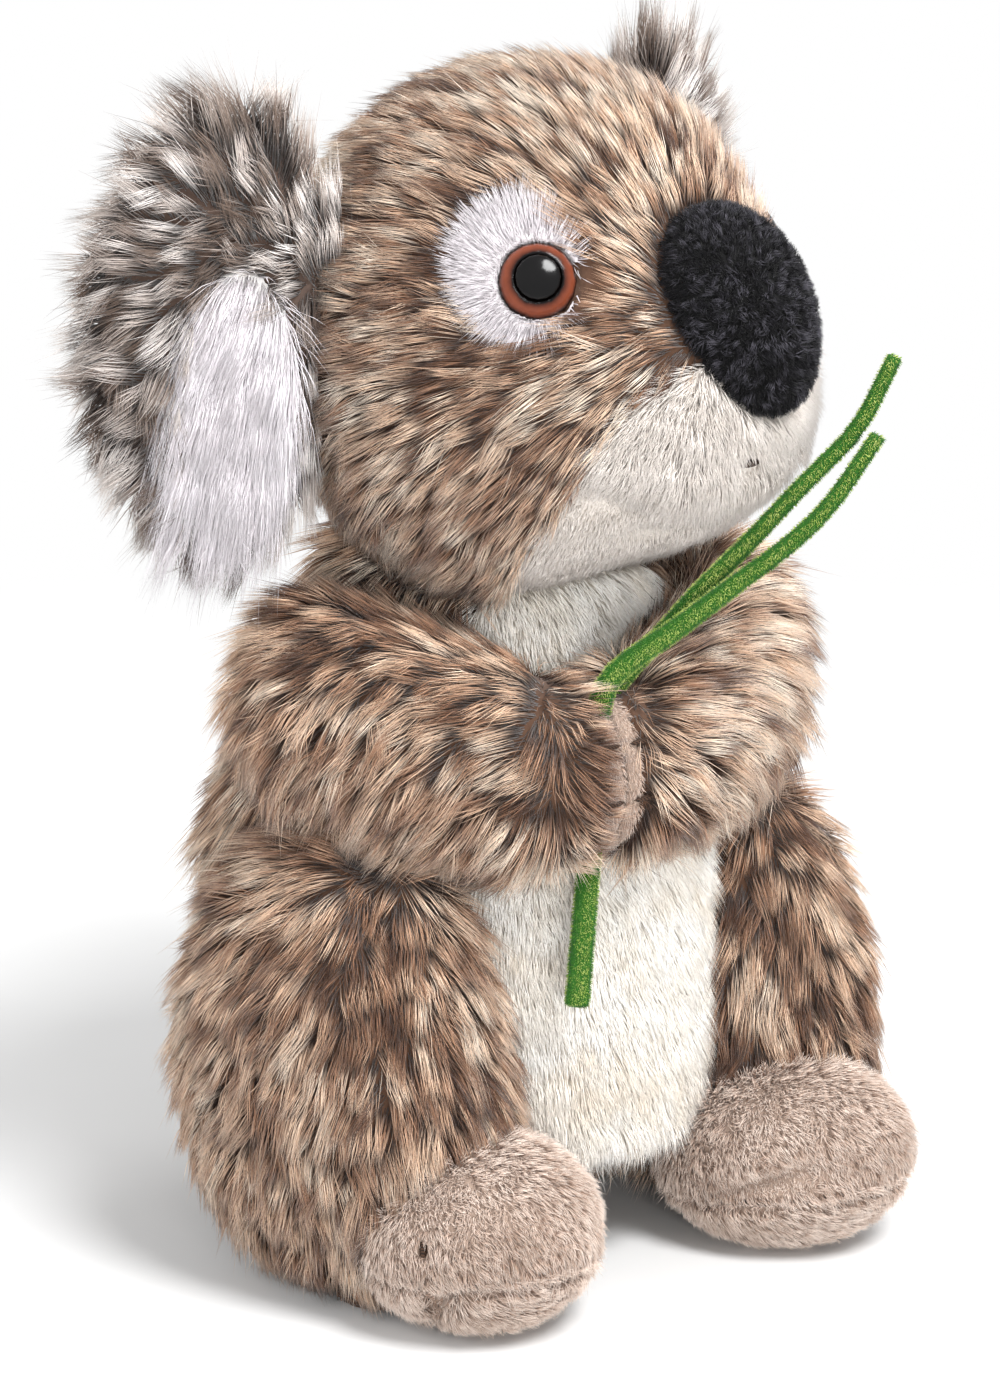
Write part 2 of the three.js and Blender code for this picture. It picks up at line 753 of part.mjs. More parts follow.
function footReach(way) {
  return 1 / Math.hypot(way.x / foot.halfWidth, way.y / foot.halfLength, way.z / foot.halfHeight);
}

function soleBlock(gap) {
  const size = 4 * foot.halfLength;
  const top = -foot.soleDropShare * foot.halfHeight - gap;
  return new THREE.BoxGeometry(size, size, size).translate(0, 0, top - size / 2);
}

// The dimple of the toe stitch and the notch in the sole under it
function toeMatrix(side) {
  const onFoot = seatOn(footReach, new THREE.Vector3(), side * toe.yawDeg, toe.pitchDeg, { rollDeg: 90 });
  return footMatrix(side).multiply(onFoot);
}

function toeNotch(side) {
  const notch = ball(toe.notchHalfWidth, toe.notchDepth, toe.notchHalfHeight, steps.small);
  notch.translate(0, 0, -toe.notchDropShare * foot.halfHeight);
  const rim = direction(side * toe.yawDeg, 0);
  const out = rim.multiplyScalar(footReach(rim) - toe.notchDepth / 2);
  const matrix = new THREE.Matrix4().makeRotationZ(side * radians(toe.yawDeg)).setPosition(out);
  return asSolid(notch, footMatrix(side).multiply(matrix));
}

// Leaves, whose routes run from the hold between the palms
function leafForm({ end, endShares, tip, tipShares }, grow = 0) {
  const held = new THREE.Vector3(hold.sideways, -arm.pawForward, arm.pawHeight);
  const towards = (goal, shares) => shares.map(([sideways, forward, rise]) => {
    const step = new THREE.Vector3(sideways * goal.sideways, -forward * goal.forward, rise * goal.rise);
    return step.add(held);
  });
  const core = new THREE.CatmullRomCurve3([...towards(end, endShares), ...towards(tip, tipShares)]);
  const across = xAxis.clone().applyAxisAngle(zAxis, radians(leaf.turnDeg));
  return solidOf(strip(core, across, leaf, grow));
}

// Turns about an axis through a point
function about(axis, point, angleDeg) {
  const there = new THREE.Matrix4().makeTranslation(point);
  const turn = new THREE.Matrix4().makeRotationAxis(axis, radians(angleDeg));
  const back = new THREE.Matrix4().makeTranslation(point.clone().negate());
  return there.multiply(turn).multiply(back);
}

function anglesBetween(lowDeg, highDeg) {
  const gaps = steps.swing - 1;
  return Array.from({ length: steps.swing }, (_, i) => lowDeg + ((highDeg - lowDeg) * i) / gaps);
}

// What a limb has to stay clear of while it swings, seen from the limb
const shoulders = new THREE.Vector3(0, 0, arm.shoulderHeight);
const hip = (side) => new THREE.Vector3(side * leg.pivotOut, leg.pivotBack, 0);

function torsoRoundLeg(side) {
  const form = solidOf(torsoForm(brushGap));
  const angles = anglesBetween(leg.closeDeg, leg.spreadDeg);
  return angles.map((angle) => form.transform(about(zAxis, hip(side), -side * angle).elements));
}

function bodyRoundArm(side) {
  const form = solidOf(torsoForm(brushGap));
  const lifts = anglesBetween(arm.lowerDeg, arm.raiseDeg);
  const swings = anglesBetween(leg.closeDeg, leg.spreadDeg);
  const lowered = about(xAxis, shoulders, arm.lowerDeg);
  const legs = swings.map((angle) => {
    const swung = about(zAxis, hip(side), side * angle);
    return legForm(side, brushGap).transform(lowered.clone().multiply(swung).elements);
  });
  return [...lifts.map((lift) => form.transform(about(xAxis, shoulders, lift).elements)), ...legs];
}

function neckInHead() {
  const form = torsoForm(seamGap).translate(0, 0, -head.height);
  return solidOf(form.rotateZ(-radians(head.turnDeg)));
}

// Torso and sprig
const group = new THREE.Group();
const toy = new THREE.Group();
toy.name = "toy";
toy.position.y = -seat.back;
group.add(toy);
const { pocket: bellyPocket, panel: bellySolid } = letIn(torsoForm, bellyCutter, bellyPanel.thickness);
const floor = floorBlock();
const leaves = [leafForm(longLeaf, seamGap), leafForm(shortLeaf, seamGap)];
toy.add(piece("torso", cut(solidOf(torsoForm()), floor, bellyPocket), cloth.fur));
toy.add(piece("belly_panel", cut(bellySolid, floor), cloth.white));
toy.add(piece("leaf_long", leafForm(longLeaf), cloth.leaf));
toy.add(piece("leaf_short", leafForm(shortLeaf), cloth.leaf));

// Head with its panels, nose and mouth
const headGroup = new THREE.Group();
headGroup.name = "head_turned";
headGroup.position.z = head.height;
headGroup.rotation.z = radians(head.turnDeg);
toy.add(headGroup);
const neck = neckInHead();
const dimple = asSolid(dimpleBall(mouth), mouthMatrix());
const { pocket: muzzlePocket, panel: muzzleSolid } = letIn(headForm, muzzleCutter, muzzlePanel.thickness);
const sides = [-1, 1];
const levels = { lower: -1, upper: 1 };
const eyeTools = sides.map(eyeTool);
const patchPockets = sides.map((side) => solidOf(patchCutter(side)));
const earPockets = sides.map((side) => asSolid(earRootForm(seamGap), earMatrix(side)));
const headSolid = cut(solidOf(headForm()), neck, muzzlePocket, dimple, ...eyeTools, ...patchPockets, ...earPockets);
headGroup.add(piece("head", headSolid, cloth.fur));
headGroup.add(piece("muzzle_panel", cut(muzzleSolid, neck, dimple), cloth.white));
headGroup.add(piece("nose", cut(solidOf(noseForm()), solidOf(headForm(seamGap))), cloth.nose));
headGroup.add(piece("mouth_stitch", asSolid(dimpleStitch(mouth), mouthMatrix()), cloth.thread));

// Eyes, ears, arms and legs, one of each on either side
sides.forEach((side, i) => {
  const hand = side < 0 ? "right" : "left";
  const patch = solidOf(headForm()).intersect(solidOf(patchCutter(side, -seamGap)));
  headGroup.add(piece(`eye_patch_${hand}`, cut(patch, eyeTools[i]), cloth.white));
  const eyeGroup = new THREE.Group();
  eyeGroup.applyMatrix4(eyeMatrix(side));
  eyeGroup.add(piece(`eye_${hand}`, cut(solidOf(irisForm()), solidOf(pupilForm(seamGap))), cloth.iris));
  eyeGroup.add(piece(`pupil_${hand}`, solidOf(pupilForm()), cloth.pupil));
  eyeGroup.add(piece(`eye_washer_${hand}`, solidOf(washerForm()), cloth.washer));
  headGroup.add(eyeGroup);

  const earGroup = new THREE.Group();
  earGroup.applyMatrix4(earMatrix(side));
  const flap = earForm(side);
  earGroup.add(piece(`ear_${hand}`, cut(flap, liningCutter(side)), cloth.earFur));
  earGroup.add(piece(`ear_lining_${hand}`, flap.intersect(liningCutter(side, -seamGap)), cloth.white));
  headGroup.add(earGroup);

  const widen = pinch.grooveRadius - pinch.threadRadius;
  const grooves = Object.values(levels).map((place) => pinchThread(side, place, 0, widen));
  const round = [...bodyRoundArm(side), ...leaves, ...grooves];
  const sleeve = cut(armForm(side), ...round);
  const palmEnd = seamGap + hold.palmThickness;
  toy.add(piece(`arm_${hand}`, cut(sleeve, beyondPalm(side, palmEnd + seamGap)), cloth.fur));
  const palm = cut(sleeve, beyondPalm(side, seamGap)).intersect(beyondPalm(side, palmEnd));
  toy.add(piece(`palm_${hand}`, palm, cloth.greige));
  for (const [level, place] of Object.entries(levels)) {
    const thread = pinchThread(side, place, widen - seamGap);
    toy.add(piece(`finger_stitch_${level}_${hand}`, thread, cloth.thread));
  }

  const beside = torsoRoundLeg(side);
  toy.add(piece(`leg_${hand}`, cut(legForm(side), floor, ...beside), cloth.fur));
  const toeTools = [toeNotch(side), asSolid(dimpleBall(toe), toeMatrix(side))];
  const footBall = ball(foot.halfWidth, foot.halfLength, foot.halfHeight);
  const footTools = [floor, legForm(side, seamGap), ...beside, ...toeTools];
  const footSolid = cut(asSolid(footBall, footMatrix(side)), ...footTools);
  const below = (gap) => asSolid(soleBlock(gap), footMatrix(side));
  toy.add(piece(`foot_${hand}`, cut(footSolid, below(0)), cloth.greige));
  toy.add(piece(`sole_${hand}`, footSolid.intersect(below(seamGap)), cloth.greige));
  toy.add(piece(`toe_stitch_${hand}`, asSolid(dimpleStitch(toe), toeMatrix(side)), cloth.thread));
});

export default group;
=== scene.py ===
"""A sitting plush koala that holds a sprig of two leaves, with its sewn skins and its pile."""
import json
import math

import bpy
import numpy as np
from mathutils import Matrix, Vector, kdtree
from mathutils.bvhtree import BVHTree

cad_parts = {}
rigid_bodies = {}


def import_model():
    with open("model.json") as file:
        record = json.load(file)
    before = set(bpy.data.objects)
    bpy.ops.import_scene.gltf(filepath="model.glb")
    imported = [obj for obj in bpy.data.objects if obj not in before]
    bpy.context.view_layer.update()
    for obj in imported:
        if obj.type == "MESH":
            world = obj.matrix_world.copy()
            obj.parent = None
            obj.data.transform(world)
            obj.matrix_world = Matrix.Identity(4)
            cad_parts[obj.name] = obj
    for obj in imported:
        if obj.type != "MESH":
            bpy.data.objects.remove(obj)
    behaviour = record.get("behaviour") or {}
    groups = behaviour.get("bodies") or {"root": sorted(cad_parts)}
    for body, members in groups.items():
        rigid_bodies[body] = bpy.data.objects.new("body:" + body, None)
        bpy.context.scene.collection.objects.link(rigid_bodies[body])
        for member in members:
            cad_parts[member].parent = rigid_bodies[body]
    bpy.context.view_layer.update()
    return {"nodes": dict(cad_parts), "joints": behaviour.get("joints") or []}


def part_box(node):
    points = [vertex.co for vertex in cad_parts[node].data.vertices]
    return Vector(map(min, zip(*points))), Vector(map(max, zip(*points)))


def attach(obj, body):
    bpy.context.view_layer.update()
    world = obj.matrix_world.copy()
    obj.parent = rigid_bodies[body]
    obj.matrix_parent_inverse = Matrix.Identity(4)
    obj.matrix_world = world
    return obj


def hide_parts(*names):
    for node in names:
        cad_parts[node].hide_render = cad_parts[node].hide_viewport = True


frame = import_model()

MM = 0.001
SIDES = ("right", "left")
UP = np.array((0.0, 0.0, 1.0))

# Camera of the photograph: where it stands, and the image that it fills
IMAGE_WIDTH = 1000
IMAGE_HEIGHT = 1382
FOCAL_PX = 5450
CENTRE_PX = (490, 668)
LOOKS_AT = Vector((0, -22, 105)) * MM
VIEW_AZIMUTH = -38.0
VIEW_ELEVATION = 14.0
VIEW_DISTANCE = 1000 * MM
SENSOR = 36.0

# Studio: the even light all round, and a floor whose shading gives way to plain white further off
AMBIENT = 0.8
FLOOR_HALF = 4.0
FLOOR_FADE = (200 * MM, 520 * MM)

# Eyes: from where to where the amber runs round the pupil, and how far the facets of plastic are eased
IRIS_DARK = 4.9 * MM
EYE_RIM = 7.4 * MM
FACET_EASE = 1.2 * MM
COAT_WEIGHT = 0.36
COAT_ROUGHNESS = 0.03

# Tones of pile: how coarse its mottling is, how far one fibre strays, and where pale tips start to show
WIDE_MOTTLE = 70.0
FINE_MOTTLE = 210.0
MOTTLE_RANGE = (0.72, 1.28)
STRAY_TONE = 0.2
FROST_FROM = 0.6
FROST_MOST = 0.75

# Skins: how finely each sewn piece is remeshed, and how often its cut edges are eased
SKIN_VOXEL = 1.3 * MM
FINE_VOXEL = 0.7 * MM
SKIN_EASE = 5

# Pile: fibres for each square mm, their length and half width in mm, how far they rise from the cloth
# at the root and at the tip in degrees, how wide a lock is in mm, how far it gathers at its tip, and how
# far a lock and a fibre turn from the lie
PILES = {
    "back": {"density": 1.8, "length": 10.5, "girth": 0.115, "lift": (42, 12), "lock": 2.9, "gather": 0.52,
             "turn": (0.22, 0.12)},
    "body": {"density": 2.9, "length": 10.5, "girth": 0.095, "lift": (42, 12), "lock": 2.9, "gather": 0.52,
             "turn": (0.22, 0.12)},
    "leg": {"density": 2.9, "length": 10.0, "girth": 0.095, "lift": (36, 8), "lock": 3.0, "gather": 0.55,
            "turn": (0.22, 0.12)},
    "head": {"density": 3.0, "length": 8.5, "girth": 0.092, "lift": (34, 8), "lock": 2.4, "gather": 0.5,
             "turn": (0.17, 0.1)},
    "ear": {"density": 3.0, "length": 9.9, "girth": 0.09, "lift": (40, 18), "lock": 3.6, "gather": 0.64,
            "turn": (0.32, 0.14)},
    "fringe": {"density": 6.0, "length": 12.0, "girth": 0.085, "lift": (26, 6), "lock": 3.0, "gather": 0.12,
               "turn": (0.06, 0.07)},
    "patch": {"density": 7.5, "length": 4.6, "girth": 0.09, "lift": (36, 12), "lock": 2.2, "gather": 0.05,
              "turn": (0.08, 0.14)},
    "muzzle": {"density": 7.0, "length": 4.4, "girth": 0.09, "lift": (50, 30), "lock": 2.0, "gather": 0.1,
               "turn": (0.2, 0.24)},
    "bib": {"density": 5.0, "length": 6.3, "girth": 0.09, "lift": (42, 20), "lock": 3.2, "gather": 0.04,
            "turn": (0.12, 0.18)},
    "foot": {"density": 7.5, "length": 3.2, "girth": 0.085, "lift": (48, 22), "lock": 1.6, "gather": 0.2,
             "turn": (0.3, 0.3)},
    "nose": {"density": 11.0, "length": 2.0, "girth": 0.09, "lift": (64, 30), "lock": 1.0, "gather": 0.3,
             "turn": (1.2, 0.8)},
    "leaf": {"density": 16.0, "length": 0.6, "girth": 0.09, "lift": (64, 50), "lock": 0.6, "gather": 0.0,
             "turn": (0.8, 0.6)},
}
LOCK_SPREAD = 0.22  # how much one lock's length differs from the next
LENGTH_SPREAD = 0.14  # and one fibre's, which differs by no more than the share below
MOST_SPREAD = 0.4
LOOSE_SHARE = 0.07  # of the fibres stand free of their locks, and are this much longer
LOOSE_LONGER = 1.15
GATHER_RANGE = (0.5, 1.2)  # how differently fibres follow their lock, and how far their elbows do
ELBOW_GATHER = 0.35
LOCK_EDGE = 0.7  # where a lock's edge is, as a share of its width
GIRTH_RANGE = (0.7, 1.25)  # how fibres differ in girth
TAPER = 0.6  # how much narrower a fibre is before its point
ROOT_DEPTH = 0.3 * MM  # how deep a fibre starts in its cloth
CAST_RISE = 0.25 * MM  # how far above its seat the search for the next piece starts
CONTACT = 1.1 * MM  # no pile grows where the next piece is nearer than this,
CONTACT_SHARE = 0.9  # or than this share of the pile's length
PRESS = 0.85  # how much of the room above it a fibre takes
FLOOR_CLEAR = 0.15 * MM
RING_PLACES = (0.0, 0.5)  # where along a fibre its rings of corners are, before its point
SIDES_OF_FIBRE = 3
MOST_FACETS = 196000  # triangles in one piece

# Where pile runs: how far fur fans out from a palm, and how far from the palm's edge it leans over it
PAW_FAN = 38 * MM
PALM_EDGE = 5 * MM
JAW_FALL = 40 * MM  # how far under the middle of the head its fur runs straight down
CREST_REACH = 13 * MM  # how far the long tuft of an ear reaches
STITCH_SHADE_REACH = 4 * MM  # how far the painted shade round a paw's stitch reaches
DIMPLE_REACH = 5 * MM
CREASE_CROP = 0.75  # how much shorter the nap is in a fold
MUZZLE_EDGE = 141.0  # how high the muzzle's lower edge is in its middle, in mm
MUZZLE_CLIMB = 0.47  # and how it climbs towards the cheeks
MUZZLE_STEP = 3 * MM  # over what height its pile grows long
LEAF_ACROSS = (0.63, -0.49, -0.6)  # the way across a leaf's ridges

# What pile keeps clear of: how near its elbows and points may come to these
EYE_BARE = 6.8 * MM
NOSE_BARE = 13.0 * MM
MOUTH_BARE = 2.0 * MM
TOE_BARE = 1.6 * MM
CLEFT_BARE = 2.4 * MM
CLEFT_RISES = (-5 * MM, -1 * MM, 3 * MM)
LINING_BARE = (((0.5, 0.4, 0.0), 9 * MM), ((0.5, 0.2, 0.3), 7 * MM))  # shares of the ear's lining


# Frame values
def ends_of(node):
    """The corners of a CAD node's box."""
    low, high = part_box(node)
    return np.array(low), np.array(high)


def middle_of(node):
    """The middle of a CAD node's box."""
    low, high = ends_of(node)
    return (low + high) / 2


def share_of(node, shares):
    """A place in a CAD node's box, as shares of its sides."""
    low, high = ends_of(node)
    return low + (high - low) * np.array(shares)


def joint_place(name):
    """Where a joint's axis passes."""
    return np.array(next(joint["pos_m"] for joint in frame["joints"] if joint["name"] == name))


def unit(vectors):
    """Vectors brought to a length of one."""
    length = np.linalg.norm(vectors, axis=-1, keepdims=True)
    return vectors / np.maximum(length, 1e-9)


def fading(distances, reach):
    """One at no distance, and next to nothing beyond a reach."""
    return np.exp(-((distances / reach) ** 2))


# Materials
def srgb(red, green, blue):
    """A colour written as 0 to 255 in the display's own values."""
    def linear(value):
        value /= 255
        return value / 12.92 if value <= 0.04045 else ((value + 0.055) / 1.055) ** 2.4
    return (linear(red), linear(green), linear(blue), 1.0)


def backdrop_rays(tree):
    """One for the rays that show the backdrop: the camera's own, and those off gloss or through glass."""
    path = tree.nodes.new("ShaderNodeLightPath")
    seen = path.outputs["Is Camera Ray"]
    for ray in ("Is Glossy Ray", "Is Transmission Ray"):
        both = tree.nodes.new("ShaderNodeMath")
        both.operation = "MAXIMUM"
        tree.links.new(seen, both.inputs[0])
        tree.links.new(path.outputs[ray], both.inputs[1])
        seen = both.outputs[0]
    return seen


class Nodes:
    """The node tree of one new material, with a short way to add and link its nodes."""

    def __init__(self, name):
        self.material = bpy.data.materials.new(name)
        self.material.use_nodes = True
        self.tree = self.material.node_tree
        self.shader = self.tree.nodes["Principled BSDF"]

    def add(self, kind, inputs=(), **settings):
        """A new node with its settings and its inputs' values or links."""
        node = self.tree.nodes.new(kind)
        for key, value in settings.items():
            setattr(node, key, value)
        for key, value in dict(inputs).items():
            self.put(node.inputs[key], value)
        return node

    def put(self, socket, value):
        """Links an output to a socket, or sets a plain value on it."""
        if isinstance(value, bpy.types.NodeSocket):
            self.tree.links.new(value, socket)
        else:
            socket.default_value = value

    def math(self, operation, *values):
        """One operation on numbers or outputs."""
        node = self.add("ShaderNodeMath", operation=operation)
        for socket, value in zip(node.inputs, values):
            self.put(socket, value)
        return node.outputs[0]

    def attribute(self, name, output="Fac"):
        """A fact that the fibres' meshes carry."""
        return self.add("ShaderNodeAttribute", attribute_name=name).outputs[output]

    def ramp(self, factor, *stops):
        """A colour from stops of a place and a colour."""
        node = self.add("ShaderNodeValToRGB", {"Fac": factor})
        points = node.color_ramp.elements
        while len(points) < len(stops):
            points.new(0.5)
        for point, (place, colour) in zip(points, stops):
            point.position = place
            point.color = colour
        return node.outputs["Color"]

    def mix(self, factor, first, second):
        """A colour between two."""
        node = self.add("ShaderNodeMix", data_type="RGBA")
        self.put(node.inputs[0], factor)
        self.put(node.inputs[6], first)
        self.put(node.inputs[7], second)
        return node.outputs[2]

    def range(self, value, low, high, to_low=0.0, to_high=1.0):
        """A value brought from one range to another, and held inside it."""
        inputs = {"Value": value, "From Min": low, "From Max": high, "To Min": to_low, "To Max": to_high}
        return self.add("ShaderNodeMapRange", inputs).outputs["Result"]

    def finish(self, colour, roughness, sheen=0.0, specular=0.3):
        """Sets the shader's own values, and gives the material."""
        self.put(self.shader.inputs["Base Color"], colour)
        self.shader.inputs["Roughness"].default_value = roughness
        self.shader.inputs["Specular IOR Level"].default_value = specular
        self.shader.inputs["Sheen Weight"].default_value = sheen
        return self.material

    def glossy(self, colour):
        """Plastic under a clear coat, with the facets of its form eased."""
        eased = self.add("ShaderNodeBevel", {"Radius": FACET_EASE}, samples=8).outputs["Normal"]
        self.put(self.shader.inputs["Normal"], eased)
        self.put(self.shader.inputs["Coat Normal"], eased)
        self.shader.inputs["Coat Weight"].default_value = COAT_WEIGHT
        self.shader.inputs["Coat Roughness"].default_value = COAT_ROUGHNESS
        return self.finish(colour, 0.2, 0.0, 0.05)


def pile_material(name, root, stops, mottle=0.5, depth=0.5, frost=None, sheen=0.2):
    """Fibres that run from a root colour to a tone of their own lock, mottled over the cloth, with painted
    shade where the root colour reaches further at a lock's rim.
    """
    n = Nodes(name)
    seat = n.attribute("seat", "Vector")
    wide = n.add("ShaderNodeTexNoise", {"Vector": seat, "Scale": WIDE_MOTTLE, "Detail": 1.0}).outputs["Fac"]
    fine = n.add("ShaderNodeTexNoise", {"Vector": seat, "Scale": FINE_MOTTLE, "Detail": 1.0}).outputs["Fac"]
    clouds = n.range(n.math("ADD", wide, fine), *MOTTLE_RANGE)
    tone = n.math("MULTIPLY_ADD", n.attribute("lock"), 1 - mottle, n.math("MULTIPLY", clouds, mottle))
    tone = n.math("MULTIPLY_ADD", n.math("SUBTRACT", n.attribute("stray"), 0.5), STRAY_TONE, tone)
    tip = n.ramp(tone, *stops)
    along = n.attribute("along")
    # painted shade: the rim term lengthens the dark root at a lock's edge, in the gaps where locks part
    tipward_less_gap_shade = n.math("MULTIPLY_ADD", n.attribute("rim"), -0.5 * depth, along)
    colour = n.mix(n.range(tipward_less_gap_shade, 0.0, depth), root, tip)
    if frost:
        colour = n.mix(n.range(along, FROST_FROM, 1.0, 0.0, FROST_MOST), colour, frost)
    return n.finish(colour, 0.8, sheen, 0.12)


def cloth_material(name, colour):
    """The woven ground under a pile."""
    n = Nodes(name)
    place = n.add("ShaderNodeTexCoord").outputs["Object"]
    knit = n.add("ShaderNodeTexNoise", {"Vector": place, "Scale": 1400.0, "Detail": 2.0}).outputs["Fac"]
    darker = tuple(0.55 * value for value in colour[:3]) + (1.0,)
    bump = n.add("ShaderNodeBump", {"Strength": 0.4, "Distance": 0.2 * MM, "Height": knit})
    n.put(n.shader.inputs["Normal"], bump.outputs["Normal"])
    return n.finish(n.mix(knit, darker, colour), 0.95, 0.2, 0.2)


def local_place(node, place):
    """A place of the row frame in a CAD node's own coordinates."""
    return frame["nodes"][node].matrix_world.inverted() @ Vector(place)


def iris_material(side):
    """Amber plastic under a clear dome, darker round the pupil, and darker at its rim as painted shade of
    the fur round the eye.
    """
    n = Nodes(f"eye_amber_{side}")
    centre = local_place(f"eye_{side}", middle_of(f"pupil_{side}"))
    place = n.add("ShaderNodeTexCoord").outputs["Object"]
    away = n.add("ShaderNodeVectorMath", {0: place, 1: centre}, operation="DISTANCE").outputs["Value"]
    flecks = n.add("ShaderNodeTexNoise", {"Vector": place, "Scale": 500.0, "Detail": 3.0}).outputs["Fac"]
    reach = n.math("MULTIPLY_ADD", flecks, 0.8 * MM, away)
    # the last stop is painted shade at the rim, under the fur round the eye
    colour = n.ramp(n.range(reach, IRIS_DARK, EYE_RIM), (0.0, srgb(8, 5, 5)), (0.3, srgb(88, 42, 27)),
                    (0.7, srgb(118, 60, 40)), (1.0, srgb(44, 24, 18)))
    return n.glossy(colour)


def pupil_material(side):
    """Polished black plastic with the faint unevenness of a moulding."""
    n = Nodes(f"eye_black_{side}")
    place = n.add("ShaderNodeTexCoord").outputs["Object"]
    waves = n.add("ShaderNodeTexNoise", {"Vector": place, "Scale": 260.0}).outputs["Fac"]
    return n.glossy(n.mix(waves, srgb(3, 3, 4), srgb(10, 9, 9)))


def washer_material(side):
    """Moulded white plastic."""
    n = Nodes(f"washer_plastic_{side}")
    place = n.add("ShaderNodeTexCoord").outputs["Object"]
    grain = n.add("ShaderNodeTexNoise", {"Vector": place, "Scale": 900.0}).outputs["Fac"]
    return n.finish(n.mix(grain, srgb(214, 212, 206), srgb(236, 234, 228)), 0.45)


def thread_material(side):
    """Spun thread: fine slanted twist lines."""
    n = Nodes(f"sewing_thread_{side}")
    place = n.add("ShaderNodeTexCoord").outputs["Object"]
    waves = {"Vector": place, "Scale": 900.0, "Distortion": 2.0}
    twist = n.add("ShaderNodeTexWave", waves, bands_direction="DIAGONAL").outputs["Fac"]
    bump = n.add("ShaderNodeBump", {"Strength": 0.6, "Distance": 0.1 * MM, "Height": twist})
    n.put(n.shader.inputs["Normal"], bump.outputs["Normal"])
    return n.finish(n.mix(twist, srgb(24, 16, 12), srgb(70, 50, 38)), 0.7)


FLOOR_GREY = srgb(207, 207, 207)
FLOOR_PALE = srgb(210, 210, 210)

# Tones of each pile, from its darkest locks to its palest
FUR_STOPS = (
    (0.13, srgb(82, 54, 39)),
    (0.33, srgb(166, 125, 98)),
    (0.53, srgb(234, 200, 171)),
    (0.85, srgb(252, 237, 219)),
)
EAR_STOPS = (
    (0.1, srgb(80, 63, 53)),
    (0.36, srgb(134, 117, 106)),
    (0.62, srgb(204, 193, 186)),
    (0.95, srgb(244, 239, 236)),
)
WHITE_STOPS = ((0.1, srgb(224, 218, 222)), (0.9, srgb(240, 236, 240)))
PATCH_STOPS = ((0.1, srgb(206, 200, 204)), (0.9, srgb(226, 221, 224)))
MUZZLE_STOPS = ((0.1, srgb(220, 212, 205)), (0.9, srgb(238, 231, 225)))
BIB_STOPS = ((0.05, srgb(244, 234, 220)), (0.4, srgb(252, 247, 239)), (0.9, srgb(254, 252, 248)))
FOOT_STOPS = ((0.05, srgb(162, 138, 122)), (0.5, srgb(200, 177, 162)), (0.95, srgb(228, 211, 199)))
NOSE_STOPS = ((0.1, srgb(6, 6, 7)), (0.55, srgb(24, 23, 27)), (0.95, srgb(86, 84, 92)))
LEAF_STOPS = (
    (0.05, srgb(36, 84, 30)),
    (0.35, srgb(74, 128, 44)),
    (0.6, srgb(150, 170, 78)),
    (0.95, srgb(196, 208, 124)),
)
PILE_MATERIALS = {
    "fur": pile_material("fur_fibres", srgb(56, 36, 26), FUR_STOPS, mottle=0.45, depth=0.56),
    "ear_fur": pile_material("ear_fibres", srgb(58, 46, 40), EAR_STOPS, mottle=0.3, depth=0.55),
    "white_fur": pile_material("white_fibres", srgb(222, 216, 220), WHITE_STOPS, depth=0.4),
    "patch": pile_material("patch_fibres", srgb(204, 198, 202), PATCH_STOPS, depth=0.4),
    "muzzle": pile_material("muzzle_fibres", srgb(226, 218, 210), MUZZLE_STOPS, depth=0.4),
    "bib": pile_material("bib_fibres", srgb(232, 222, 208), BIB_STOPS, mottle=0.7, depth=0.4),
    "foot_cloth": pile_material(
        "foot_fibres", srgb(168, 140, 122), FOOT_STOPS, mottle=0.6, frost=srgb(244, 232, 222)),
    "nose_cloth": pile_material("nose_fibres", srgb(3, 3, 4), NOSE_STOPS, mottle=0.3, sheen=0.05),
    "leaf_cloth": pile_material("leaf_fibres", srgb(18, 52, 16), LEAF_STOPS, mottle=0.15, sheen=0.1),
}
GROUND_MATERIALS = {
    "fur": cloth_material("fur_ground", srgb(88, 64, 50)),
    "ear_fur": cloth_material("ear_ground", srgb(84, 68, 60)),
    "white_fur": cloth_material("white_ground", srgb(244, 242, 240)),
    "patch": cloth_material("patch_ground", srgb(220, 215, 218)),
    "muzzle": cloth_material("muzzle_ground", srgb(228, 220, 212)),
    "bib": cloth_material("bib_ground", srgb(238, 230, 218)),
    "foot_cloth": cloth_material("foot_ground", srgb(164, 144, 130)),
    "nose_cloth": cloth_material("nose_ground", srgb(8, 8, 9)),
    "leaf_cloth": cloth_material("leaf_ground", srgb(40, 92, 26)),
}


# Skins
def add_object(name, mesh):
    """A new object of the scene."""
    piece = bpy.data.objects.new(name, mesh)
    bpy.context.scene.collection.objects.link(piece)
    return piece


def values_of(items, name):
    """A vector property of many mesh items, as one row each."""
    values = np.empty(len(items) * 3)
    items.foreach_get(name, values)
    return values.reshape(-1, 3)


def body_of(node):
    """The body that a CAD node moves with."""
    return frame["nodes"][node].parent.name.split(":")[1]


def nearness(places, place, across, width, reach):
    """How near places are to a fold: a short line through a place, with a width and a reach in mm."""
    gaps = places - np.array(place) * MM
    off_line = gaps @ unit(np.array(across))
    return np.exp(-(gaps**2).sum(1) / (reach * MM) ** 2 - (off_line / (width * MM)) ** 2)


def draw_in(mesh, place, across, depth, width, reach):
    """Draws a skin in along a fold."""
    places = values_of(mesh.vertices, "co")
    drawn = depth * MM * nearness(places, place, across, width, reach)
    places -= values_of(mesh.vertices, "normal") * drawn[:, None]
    mesh.vertices.foreach_set("co", places.ravel())
    mesh.update()


